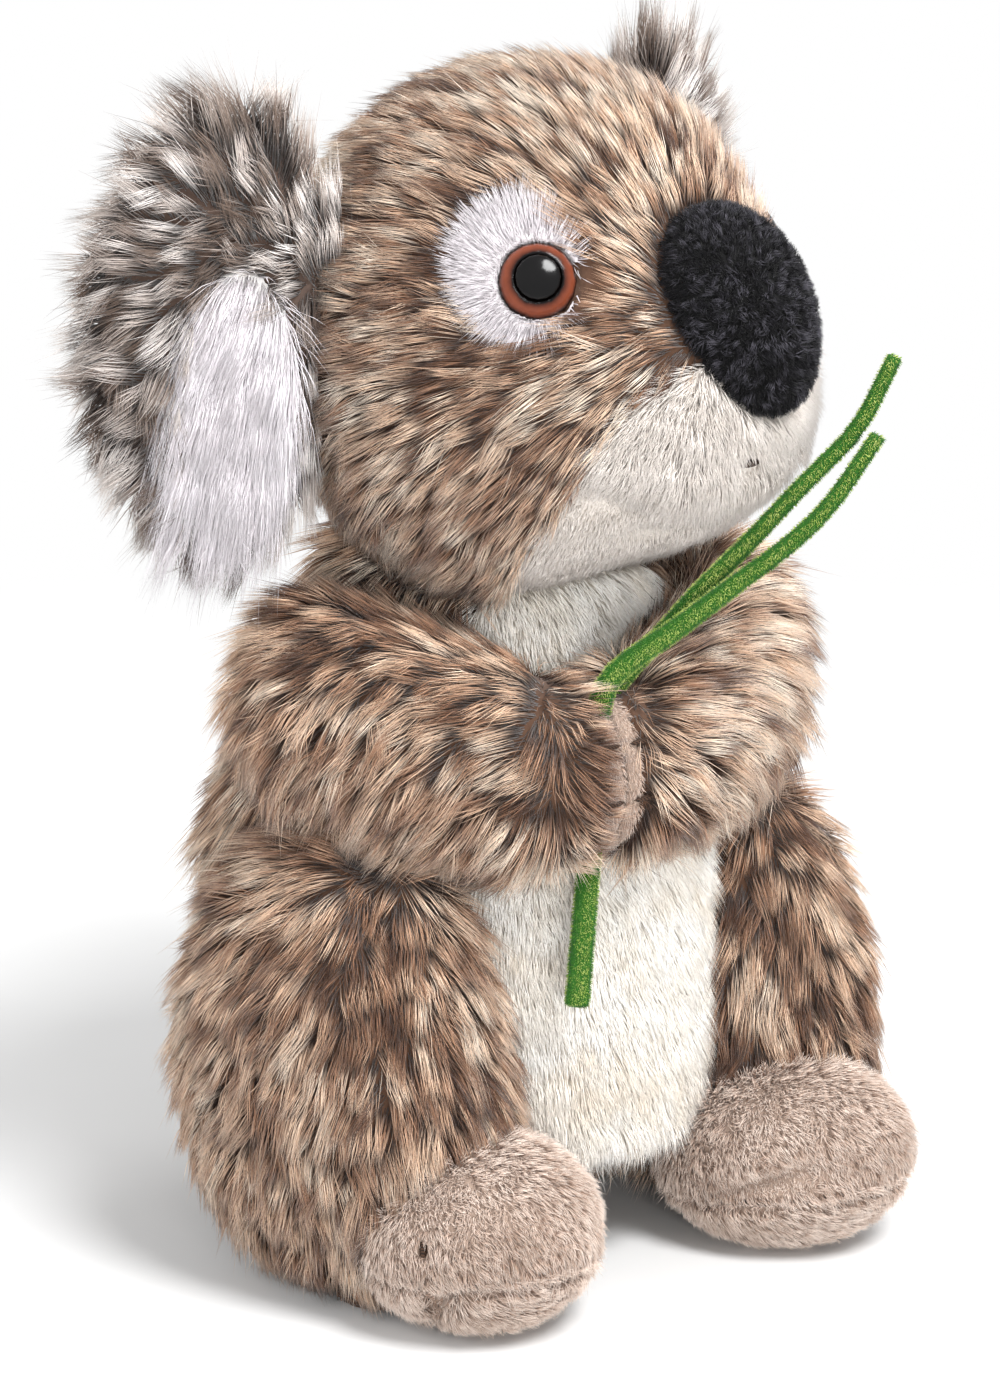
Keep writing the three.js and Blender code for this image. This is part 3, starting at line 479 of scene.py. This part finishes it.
def skin_of(node, slot, finish, voxel):
    """A sewn skin in the form of its CAD solid, with eased edges, that stands for that solid."""
    piece = add_object(f"{node}_skin", frame["nodes"][node].data.copy())
    remesh = piece.modifiers.new("sewn", "REMESH")
    remesh.mode = "VOXEL"
    remesh.voxel_size = voxel
    ease = piece.modifiers.new("eased", "SMOOTH")
    ease.factor = 0.5
    ease.iterations = SKIN_EASE
    shaped = piece.evaluated_get(bpy.context.evaluated_depsgraph_get())
    mesh = bpy.data.meshes.new_from_object(shaped)
    piece.modifiers.clear()
    piece.data = mesh
    for fold in FOLDS.get(node, ()):
        draw_in(mesh, *fold)
    mesh.materials.clear()
    mesh.materials.append(GROUND_MATERIALS[finish])
    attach(piece, body_of(node))
    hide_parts(node)
    return piece


# Folds and drawn-in seams, in mm: a place on the skin, the way across the fold, its depth, width and reach
FOLDS = {
    "muzzle_panel": (
        ((-15, -74, 148), (0.25, 0.1, 1.0), 2.0, 3.2, 12),
        ((0, -76, 141), (-0.1, 0.1, 1.0), 2.2, 3.2, 12),
    ),
    "leg_right": (((-49, -54, 72), (1.0, -0.6, 0.1), 4.0, 4.0, 17),),
    "leg_left": (((49, -54, 72), (-1.0, -0.6, 0.1), 4.0, 4.0, 17),),
    "sole_right": (((-54, -77, 9), (0.9, -0.45, 0.0), 5.0, 2.2, 9),),
    "sole_left": (((54, -77, 9), (0.9, 0.45, 0.0), 5.0, 2.2, 9),),
    "foot_right": (((-36, -74, 22), (0.3, 0.1, 1.0), 1.6, 3.0, 12),),
    "foot_left": (((22, -78, 17), (-0.25, 0.2, 1.0), 3.2, 2.8, 10),),
}

# What each soft node is sewn from: its slot, its finish and its voxel
SKINS = {
    "torso": ("fur", "fur", SKIN_VOXEL),
    "belly_panel": ("white_fur", "bib", SKIN_VOXEL),
    "head": ("fur", "fur", SKIN_VOXEL),
    "muzzle_panel": ("white_fur", "muzzle", FINE_VOXEL),
    "nose": ("nose_cloth", "nose_cloth", FINE_VOXEL),
    "leaf_long": ("leaf_cloth", "leaf_cloth", FINE_VOXEL / 2),
    "leaf_short": ("leaf_cloth", "leaf_cloth", FINE_VOXEL / 2),
}
for side in SIDES:
    SKINS[f"eye_patch_{side}"] = ("white_fur", "patch", FINE_VOXEL)
    SKINS[f"ear_{side}"] = ("ear_fur", "ear_fur", SKIN_VOXEL)
    SKINS[f"ear_lining_{side}"] = ("white_fur", "white_fur", FINE_VOXEL)
    SKINS[f"arm_{side}"] = ("fur", "fur", SKIN_VOXEL)
    SKINS[f"palm_{side}"] = ("foot_cloth", "foot_cloth", FINE_VOXEL)
    SKINS[f"leg_{side}"] = ("fur", "fur", SKIN_VOXEL)
    SKINS[f"foot_{side}"] = ("foot_cloth", "foot_cloth", SKIN_VOXEL)
    SKINS[f"sole_{side}"] = ("foot_cloth", "foot_cloth", FINE_VOXEL)
skins = {node: skin_of(node, *facts) for node, facts in SKINS.items()}


# Plastic and thread, which keep their CAD forms
for side in SIDES:
    hard = {
        f"eye_{side}": iris_material,
        f"pupil_{side}": pupil_material,
        f"eye_washer_{side}": washer_material,
        f"finger_stitch_lower_{side}": thread_material,
        f"finger_stitch_upper_{side}": thread_material,
        f"toe_stitch_{side}": thread_material,
    }
    for node, make in hard.items():
        frame["nodes"][node].material_slots[0].material = make(side)
frame["nodes"]["mouth_stitch"].material_slots[0].material = thread_material("mouth")


# Pile
def triangles_of(obj):
    """Places and normals of an object's vertices, and the vertices of its triangles."""
    mesh = obj.data
    mesh.calc_loop_triangles()
    corners = np.empty(len(mesh.loop_triangles) * 3, dtype=np.int32)
    mesh.loop_triangles.foreach_get("vertices", corners)
    return values_of(mesh.vertices, "co"), values_of(mesh.vertices, "normal"), corners.reshape(-1, 3)


def all_round():
    """Everything that pile could run into, as one tree of triangles."""
    places, corners = [], []
    count = 0
    hard = [o for name, o in frame["nodes"].items() if name not in SKINS]
    for obj in list(skins.values()) + hard:
        own, _, triangles = triangles_of(obj)
        places.append(own)
        corners.append(triangles + count)
        count += len(own)
    return BVHTree.FromPolygons(np.concatenate(places).tolist(), np.concatenate(corners).tolist())


neighbours = all_round()


def scatter(obj, density, rng):
    """Seats for fibres, spread evenly at random over an object, and the normals there."""
    places, normals, corners = triangles_of(obj)
    a, b, c = (places[corners[:, i]] for i in range(3))
    areas = np.linalg.norm(np.cross(b - a, c - a), axis=1) / 2
    total = int(areas.sum() / MM**2 * density)
    edges = np.cumsum(areas) / areas.sum()
    drawn = (np.arange(total) + rng.random(total)) / total
    chosen = np.searchsorted(edges, drawn).clip(0, len(areas) - 1)
    u, v = rng.random((2, total, 1))
    over = u + v > 1
    u, v = np.where(over, 1 - u, u), np.where(over, 1 - v, v)
    w = 1 - u - v
    seats = a[chosen] * w + b[chosen] * u + c[chosen] * v
    facing = [normals[corners[chosen, i]] for i in range(3)]
    return seats, unit(facing[0] * w + facing[1] * u + facing[2] * v)


def room_above(seats, normals, reach):
    """How far each seat's normal runs before it meets another surface."""
    room = np.full(len(seats), reach)
    start = seats + normals * CAST_RISE
    for i, (place, way) in enumerate(zip(start.tolist(), normals.tolist())):
        distance = neighbours.ray_cast(place, way, reach)[3]
        if distance is not None:
            room[i] = distance + CAST_RISE
    return room


def locks_of(seats, width, density, rng):
    """Centres of locks among the seats, the lock of each seat, and how near its edge the seat is."""
    fibres = max(1, round(density * width**2))
    centres = rng.choice(len(seats), max(1, len(seats) // fibres), replace=False)
    tree = kdtree.KDTree(len(centres))
    for i, index in enumerate(centres):
        tree.insert(seats[index], i)
    tree.balance()
    found = [tree.find(place)[1:] for place in seats.tolist()]
    lock = np.array([index for index, _ in found])
    gaps = np.array([gap for _, gap in found])
    return centres, lock, (gaps / (LOCK_EDGE * width * MM)).clip(0, 1)


def level(ways, normals):
    """Directions laid flat along the cloth."""
    return unit(ways - normals * (ways * normals).sum(1, keepdims=True))


def grow(node, pile, finish, lie, *, longer=None, shade=None, bare=(), seed=0):
    """Covers a skin with fibres that follow a lie. Longer and shade change them from seat to seat."""
    style = PILES[pile]
    rng = np.random.default_rng(seed)
    density = style["density"] * 1
    length = style["length"] * MM
    seats, normals = scatter(skins[node], density, rng)
    room = room_above(seats, normals, length)
    kept = room > min(CONTACT, CONTACT_SHARE * length)
    seats, normals, room = (values[kept] for values in (seats, normals, room))
    count = len(seats)

    centres, lock, rim = locks_of(seats, style["lock"], density, rng)
    lock_turn, fibre_turn = style["turn"]
    turns = rng.normal(0, lock_turn, (len(centres), 3))[lock] + rng.normal(0, fibre_turn, (count, 3))
    way = level(level(lie(seats, normals), normals) + turns, normals)
    lengths = length * (1 + rng.uniform(-LOCK_SPREAD, LOCK_SPREAD, len(centres))[lock])
    lengths = lengths * (1 + rng.normal(0, LENGTH_SPREAD, count).clip(-MOST_SPREAD, MOST_SPREAD))
    loose = rng.random(count) < LOOSE_SHARE
    lengths = lengths * np.where(loose, LOOSE_LONGER, 1)
    if longer is not None:
        lengths = lengths * longer(seats)

    # Each fibre rises to an elbow and then leans over, less where something lies close above it
    rise, fall = (math.radians(angle) for angle in style["lift"])
    heights = [lengths / 2 * math.sin(rise), lengths / 2 * math.sin(fall)]
    press = np.minimum(1, PRESS * room / (heights[0] + heights[1]))
    elbow = seats + normals * (heights[0] * press)[:, None] + way * (lengths / 2 * math.cos(rise))[:, None]
    point = elbow + normals * (heights[1] * press)[:, None] + way * (lengths / 2 * math.cos(fall))[:, None]

    # A lock draws its fibres together towards their tips
    pull = (style["gather"] * rng.uniform(*GATHER_RANGE, count) * ~loose)[:, None]
    leader = centres[lock]
    elbow = elbow + (elbow[leader] - elbow) * pull * ELBOW_GATHER
    point = point + (point[leader] - point) * pull

    # Tones go by locks, and fibres that would reach over a bare place are left out
    tones = rng.random(len(centres))[lock]
    if shade is not None:
        tones = shade(seats, normals, tones)
    fibres = {"seat": seats, "normal": normals, "elbow": elbow, "point": point, "lock": tones, "rim": rim}
    clear = np.ones(count, dtype=bool)
    for centre, radius in bare:
        for ends in (elbow, point):
            clear &= np.linalg.norm(ends - centre, axis=1) > radius
    fibres = {fact: values[clear] for fact, values in fibres.items()}
    girth = style["girth"] * MM * 1
    build_strands(f"{node}_{pile}_pile", node, finish, fibres, girth, rng)


def build_strands(name, node, finish, fibres, girth, rng):
    """Makes tapered fibres, split into pieces round the upright through their middle."""
    seats = fibres["seat"]
    middle = seats.mean(axis=0)
    order = np.argsort(np.arctan2(seats[:, 1] - middle[1], seats[:, 0] - middle[0]), kind="stable")
    facets = SIDES_OF_FIBRE * (2 * len(RING_PLACES) - 1) + 1
    pieces = max(1, math.ceil(len(seats) * facets / MOST_FACETS))
    for part, chosen in enumerate(np.array_split(order, pieces)):
        share = {fact: values[chosen] for fact, values in fibres.items()}
        mesh = strand_mesh(f"{name}_{part}", share, girth, rng)
        mesh.materials.append(PILE_MATERIALS[finish])
        piece = add_object(f"{name}_{part}", mesh)
        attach(piece, body_of(node))


def strand_mesh(name, fibres, girth, rng):
    """One mesh of closed fibres, each curved from its root over its elbow to its point."""
    root = fibres["seat"] - fibres["normal"] * ROOT_DEPTH
    elbow, point = fibres["elbow"], fibres["point"]
    count = len(root)
    spin = unit(rng.normal(size=(count, 3)))
    width = girth * rng.uniform(*GIRTH_RANGE, count)
    corners = []
    for t in RING_PLACES:
        middle = root * (1 - t) ** 2 + elbow * (2 * t * (1 - t)) + point * t**2
        along = unit((elbow - root) * (1 - t) + (point - elbow) * t)
        first = level(spin, along)
        second = np.cross(along, first)
        reach = (width * (1 - TAPER * t))[:, None]
        for j in range(SIDES_OF_FIBRE):
            angle = 2 * math.pi * j / SIDES_OF_FIBRE
            corners.append(middle + (first * math.cos(angle) + second * math.sin(angle)) * reach)
    corners.append(point)
    places = np.stack(corners, axis=1)
    places[:, :, 2] = np.maximum(places[:, :, 2], FLOOR_CLEAR)
    each = SIDES_OF_FIBRE * len(RING_PLACES) + 1

    faces, uvs = strand_pattern()
    sizes = np.array([len(face) for face in faces])
    pattern = np.concatenate([np.array(face) for face in faces])
    loops = (np.arange(count)[:, None] * each + pattern).ravel()
    starts = np.concatenate([[0], np.cumsum(np.tile(sizes, count))[:-1]])
    mesh = bpy.data.meshes.new(name)
    mesh.vertices.add(count * each)
    mesh.vertices.foreach_set("co", places.ravel())
    mesh.loops.add(len(loops))
    mesh.loops.foreach_set("vertex_index", loops.astype(np.int32))
    mesh.polygons.add(count * len(faces))
    mesh.polygons.foreach_set("loop_start", starts.astype(np.int32))
    mesh.update(calc_edges=True)
    mesh.validate()

    # Each fibre has a cell of its own in the UV map
    cells = math.ceil(math.sqrt(count))
    corner = np.stack([np.arange(count) % cells, np.arange(count) // cells], axis=1)
    spots = (corner[:, None, :] + np.array(uvs)[None]) / cells
    layer = mesh.uv_layers.new(name="OFBake")
    layer.data.foreach_set("uv", spots.ravel().astype(np.float32))

    # What the materials read
    places_along = np.array([t for t in RING_PLACES for _ in range(SIDES_OF_FIBRE)] + [1.0])
    put_attribute(mesh, "along", np.tile(places_along, count))
    put_attribute(mesh, "lock", np.repeat(fibres["lock"], each))
    put_attribute(mesh, "rim", np.repeat(fibres["rim"], each))
    put_attribute(mesh, "stray", np.repeat(rng.random(count), each))
    seat = mesh.attributes.new("seat", "FLOAT_VECTOR", "POINT")
    seat.data.foreach_set("vector", np.repeat(root, each, axis=0).ravel())
    return mesh


def put_attribute(mesh, name, values):
    """One number for each vertex."""
    layer = mesh.attributes.new(name, "FLOAT", "POINT")
    layer.data.foreach_set("value", values)


def strand_pattern():
    """The faces of one fibre by its own vertex numbers, and their corners in a unit cell."""
    faces, uvs = [(2, 1, 0)], [(0.1, 0.04), (0.9, 0.04), (0.5, 0.14)]
    left, wide, low, tall = 0.06, 0.88, 0.2, 0.74
    heights = [low + tall * t for t in RING_PLACES] + [low + tall]
    last = len(RING_PLACES) - 1
    for j in range(SIDES_OF_FIBRE):
        near, far = left + wide * j / SIDES_OF_FIBRE, left + wide * (j + 1) / SIDES_OF_FIBRE
        other = (j + 1) % SIDES_OF_FIBRE
        for k in range(last):
            below, above = SIDES_OF_FIBRE * k, SIDES_OF_FIBRE * (k + 1)
            faces.append((below + j, below + other, above + other, above + j))
            uvs += [(near, heights[k]), (far, heights[k]), (far, heights[k + 1]), (near, heights[k + 1])]
        top = SIDES_OF_FIBRE * last
        faces.append((top + j, top + other, top + SIDES_OF_FIBRE))
        uvs += [(near, heights[last]), (far, heights[last]), ((near + far) / 2, heights[last + 1])]
    return faces, uvs


# Lies: which way each pile runs
def away_from(place, droop=0.0):
    """Away from a point, and down by a share."""
    def lie(seats, normals):
        return unit(seats - place) - UP * droop
    return lie


def downward(seats, normals):
    """Straight down."""
    return -UP + np.zeros_like(seats)


def across_palm(side):
    """The way from one palm to the other."""
    other = SIDES[1 - SIDES.index(side)]
    return unit(middle_of(f"palm_{other}") - middle_of(f"palm_{side}"))


def near_palm(seats, side):
    """How near seats are to the edge of the palm, where the fur leans over it."""
    return fading((seats - middle_of(f"palm_{side}")) @ across_palm(side), PALM_EDGE)


def arm_lie(side):
    """Fans out from the paw, hangs down further up the arm, and leans over the palm at its edge."""
    paw = middle_of(f"palm_{side}")

    def lie(seats, normals):
        near = 0.75 * fading(np.linalg.norm(seats - paw, axis=1, keepdims=True), PAW_FAN)
        fan = unit(seats - paw) * (0.25 + near) - UP * (1.1 - near)
        rim = near_palm(seats, side)[:, None]
        return fan * (1 - rim) + 1.5 * across_palm(side) * rim
    return lie


def head_lie(seats, normals):
    """Back from the nose, over the crown and the cheeks, and down under the jaw."""
    low = ((middle_of("head")[2] - seats[:, 2:]) / JAW_FALL).clip(0, 1)
    return unit(seats - middle_of("nose")) - UP * 0.9 * low


def leg_lie(side):
    """Out of the crease between haunch and arm, down the leg to the foot."""
    across = 0.55 if side == "right" else 0.45
    return away_from(share_of(f"leg_{side}", (across, 0.28, 0.98)), 0.55)


# Lengths: how a pile's length changes over its cloth
def short_nap(seats):
    """The clipped nap of a palm."""
    return 0.45


def crest_length(side):
    """Longer at the top of an ear, towards its root."""
    crest = share_of(f"ear_{side}", (0.72 if side == "right" else 0.28, 0.5, 1.0))

    def longer(seats):
        return 1 + 0.7 * fading(np.linalg.norm(seats - crest, axis=1), CREST_REACH)
    return longer


def fringe_length(node):
    """Longer towards the lower end."""
    low, high = ends_of(node)

    def longer(seats):
        return 0.8 + 0.7 * (high[2] - seats[:, 2]) / (high[2] - low[2])
    return longer


def paw_length(side):
    """Shorter at the edge of the palm."""
    def longer(seats):
        return 1 - 0.4 * near_palm(seats, side)
    return longer


def muzzle_length(seats):
    """Long on the muzzle, to hang over its lower edge, and short on the throat and at the mouth."""
    edge = (MUZZLE_EDGE + MUZZLE_CLIMB * abs(seats[:, 0] / MM)) * MM
    dimple = fading(np.linalg.norm(seats - middle_of("mouth_stitch"), axis=1), DIMPLE_REACH)
    return (0.65 + 0.75 * ((seats[:, 2] - edge) / MUZZLE_STEP + 0.5).clip(0, 1)) * (1 - 0.7 * dimple)


def creased(node, longer=None):
    """Shorter along the folds of a skin, so that they stay open."""
    def cropped(seats):
        lengths = np.ones(len(seats)) if longer is None else longer(seats)
        for place, across, _, width, reach in FOLDS[node]:
            lengths = lengths * (1 - CREASE_CROP * nearness(seats, place, across, width, reach))
        return lengths
    return cropped


# Shades: how a pile's tones change over its cloth, painted light and shade among them
def painted_shade_by_share(share):
    """Locks darkened to a share of their pile's own tone, as painted shade."""
    def shade(seats, normals, tones):
        return share * tones
    return shade


def painted_arm_light_and_stitch_shade(side, share):
    """Locks at a share of their pile's own tone, and darker round the stitches of a paw, as painted shade
    in the dents there.
    """
    stitches = [middle_of(f"finger_stitch_{place}_{side}") for place in ("lower", "upper")]

    def shade(seats, normals, tones):
        # painted shade: tones fall off near each finger stitch
        dark = sum(fading(np.linalg.norm(seats - stitch, axis=1), STITCH_SHADE_REACH) for stitch in stitches)
        return share * tones * (1 - 0.8 * dark.clip(0, 1))
    return shade


def leaf_bands(seats, normals, tones):
    """Two dark ridges of nap along the leaf, with a lighter groove between them and lighter edges."""
    ridges = np.cos(2 * math.pi * (normals @ unit(np.array(LEAF_ACROSS))))
    return (0.42 + 0.3 * ridges + 0.4 * (tones - 0.5)).clip(0, 1)


# Pile of the torso, the face and the leaves
eyes = [(middle_of(f"pupil_{side}"), EYE_BARE) for side in SIDES]
nose_ball = [(middle_of("nose"), NOSE_BARE)]
mouth = [(middle_of("mouth_stitch"), MOUTH_BARE)]
nose_top = share_of("nose", (0.5, 0.0, 0.8))
grow("torso", "back", "fur", downward, seed=1)
grow("belly_panel", "bib", "bib", downward, seed=2)
grow("head", "head", "fur", head_lie, bare=eyes + nose_ball, seed=3)
grow("muzzle_panel", "muzzle", "muzzle", away_from(middle_of("nose"), 0.35),
     longer=creased("muzzle_panel", muzzle_length), bare=nose_ball + mouth, seed=4)
grow("nose", "nose", "nose_cloth", away_from(nose_top), seed=5)
grow("leaf_long", "leaf", "leaf_cloth", downward, shade=leaf_bands, seed=6)
grow("leaf_short", "leaf", "leaf_cloth", downward, shade=leaf_bands, seed=7)


# Pile of each side
def grow_ear(side, start):
    """The patch round the eye, and the ear with its lining's fringe."""
    root = joint_place(f"ear_{side}_flop")
    lining = f"ear_lining_{side}"
    fringe = [(share_of(lining, shares), radius) for shares, radius in LINING_BARE]
    pupil = middle_of(f"pupil_{side}")
    grow(f"eye_patch_{side}", "patch", "patch", away_from(pupil), bare=eyes, seed=start)
    grow(f"ear_{side}", "ear", "ear_fur", away_from(root, 0.1),
         longer=crest_length(side), bare=fringe, seed=start + 1)
    grow(lining, "fringe", "white_fur", away_from(root, 1.6),
         longer=fringe_length(lining), seed=start + 2)


def grow_arm(side, start, painted_light_and_shade):
    """The arm with its paw, drawn in at its stitches, and the palm; the arm's locks take a share of their
    tone as painted light and shade.
    """
    grow(f"arm_{side}", "body", "fur", arm_lie(side),
         longer=paw_length(side), shade=painted_arm_light_and_stitch_shade(side, painted_light_and_shade), seed=start + 3)
    # painted shade: the palm's locks at half their tone
    grow(f"palm_{side}", "foot", "foot_cloth", downward,
         longer=short_nap, shade=painted_shade_by_share(0.5), seed=start + 4)


def grow_leg(side, start, painted_light_and_shade):
    """The leg, the foot and the sole with its cleft."""
    foot = f"foot_{side}"
    sole = f"sole_{side}"
    ankle = share_of(foot, (0.5, 1.0, 0.9))
    toe = [(middle_of(f"toe_stitch_{side}"), TOE_BARE)]
    fold = np.array(FOLDS[sole][0][0]) * MM
    cleft = [(fold + UP * rise, CLEFT_BARE) for rise in CLEFT_RISES]
    # painted shade: the leg's locks at a share of their tone
    grow(f"leg_{side}", "leg", "fur", leg_lie(side), shade=painted_shade_by_share(painted_light_and_shade), seed=start + 5)
    grow(foot, "foot", "foot_cloth", away_from(ankle, 0.2),
         longer=creased(foot), bare=toe, seed=start + 6)
    grow(sole, "foot", "foot_cloth", away_from(ankle),
         longer=creased(sole), bare=toe + cleft, seed=start + 7)


# Each arm's and leg's share of tone is painted light on the left arm, and painted shade on the right arm
# and both legs
for side, start, arm_painted_light_and_shade, leg_painted_light_and_shade in (("right", 10, 0.84, 0.75), ("left", 30, 1.1, 0.64)):
    grow_ear(side, start)
    grow_arm(side, start, arm_painted_light_and_shade)
    grow_leg(side, start, leg_painted_light_and_shade)


# Camera, floor and light
def way_from_camera(azimuth, elevation):
    """A direction from the object, turned about the upright from the camera's own side."""
    azimuth, elevation = math.radians(VIEW_AZIMUTH + azimuth), math.radians(elevation)
    level_part = math.cos(elevation)
    return Vector((math.sin(azimuth) * level_part, -math.cos(azimuth) * level_part, math.sin(elevation)))


def add_camera():
    """The photograph's camera."""
    data = bpy.data.cameras.new("photo_view")
    camera = add_object("photo_view", data)
    back = way_from_camera(0, VIEW_ELEVATION)
    camera.location = LOOKS_AT + back * VIEW_DISTANCE
    camera.rotation_euler = back.to_track_quat("Z", "Y").to_euler()
    data.sensor_fit = "HORIZONTAL"
    data.sensor_width = SENSOR
    data.lens = SENSOR * FOCAL_PX / IMAGE_WIDTH
    data.shift_x = (IMAGE_WIDTH / 2 - CENTRE_PX[0]) / IMAGE_WIDTH
    data.shift_y = (CENTRE_PX[1] - IMAGE_HEIGHT / 2) / IMAGE_WIDTH
    data.clip_end = 20
    bpy.context.scene.camera = camera


def add_lamp(name, azimuth, elevation, distance, size, white, mirrored=False):
    """A round softbox, whose strength is the brightness that it gives a white card facing it."""
    data = bpy.data.lights.new(name, "AREA")
    data.shape = "DISK"
    data.size = size
    data.energy = white * (math.pi * distance) ** 2
    lamp = add_object(name, data)
    way = way_from_camera(azimuth, elevation)
    lamp.location = LOOKS_AT + way * distance
    lamp.rotation_euler = way.to_track_quat("Z", "Y").to_euler()
    lamp.visible_glossy = mirrored


def add_world():
    """Even light all round, and plain white where the backdrop is seen."""
    world = bpy.data.worlds.new("studio")
    bpy.context.scene.world = world
    world.use_nodes = True
    tree = world.node_tree
    background = tree.nodes["Background"]
    background.inputs["Color"].default_value = (1, 1, 1, 1)
    strength = tree.nodes.new("ShaderNodeMix")
    strength.inputs["A"].default_value = AMBIENT
    strength.inputs["B"].default_value = 1.0
    tree.links.new(backdrop_rays(tree), strength.inputs["Factor"])
    tree.links.new(strength.outputs["Result"], background.inputs["Strength"])


def add_floor():
    """A white sweep that keeps the object's shadow and runs out into plain white further off."""
    half = FLOOR_HALF
    corners = [(-half, -half, 0), (half, -half, 0), (half, half, 0), (-half, half, 0)]
    mesh = bpy.data.meshes.new("floor")
    mesh.from_pydata(corners, [], [(0, 1, 2, 3)])
    n = Nodes("studio_floor")
    place = n.add("ShaderNodeTexCoord").outputs["Object"]
    grain = n.add("ShaderNodeTexNoise", {"Vector": place, "Scale": 30.0}).outputs["Fac"]
    n.finish(n.mix(grain, FLOOR_GREY, FLOOR_PALE), 0.9, 0.0, 0.0)
    away = n.add("ShaderNodeVectorMath", {0: place}, operation="LENGTH").outputs["Value"]
    fade = n.math("MULTIPLY", n.range(away, *FLOOR_FADE), backdrop_rays(n.tree))
    white = n.add("ShaderNodeEmission", {"Color": (1, 1, 1, 1)}).outputs[0]
    both = n.add("ShaderNodeMixShader", {0: fade, 1: n.shader.outputs[0], 2: white}).outputs[0]
    n.put(n.tree.nodes["Material Output"].inputs["Surface"], both)
    mesh.materials.append(n.material)
    add_object("floor", mesh)


add_camera()
add_world()
add_floor()
add_lamp("key", azimuth=36, elevation=52, distance=1.8, size=0.72, white=1.4, mirrored=True)
add_lamp("fill", azimuth=-60, elevation=35, distance=1.9, size=1.2, white=0.3)
add_lamp("low_front", azimuth=12, elevation=3, distance=1.8, size=0.8, white=0.85)
add_lamp("back", azimuth=125, elevation=42, distance=1.9, size=1.2, white=0.3)
bpy.context.scene.view_settings.view_transform = "Standard"
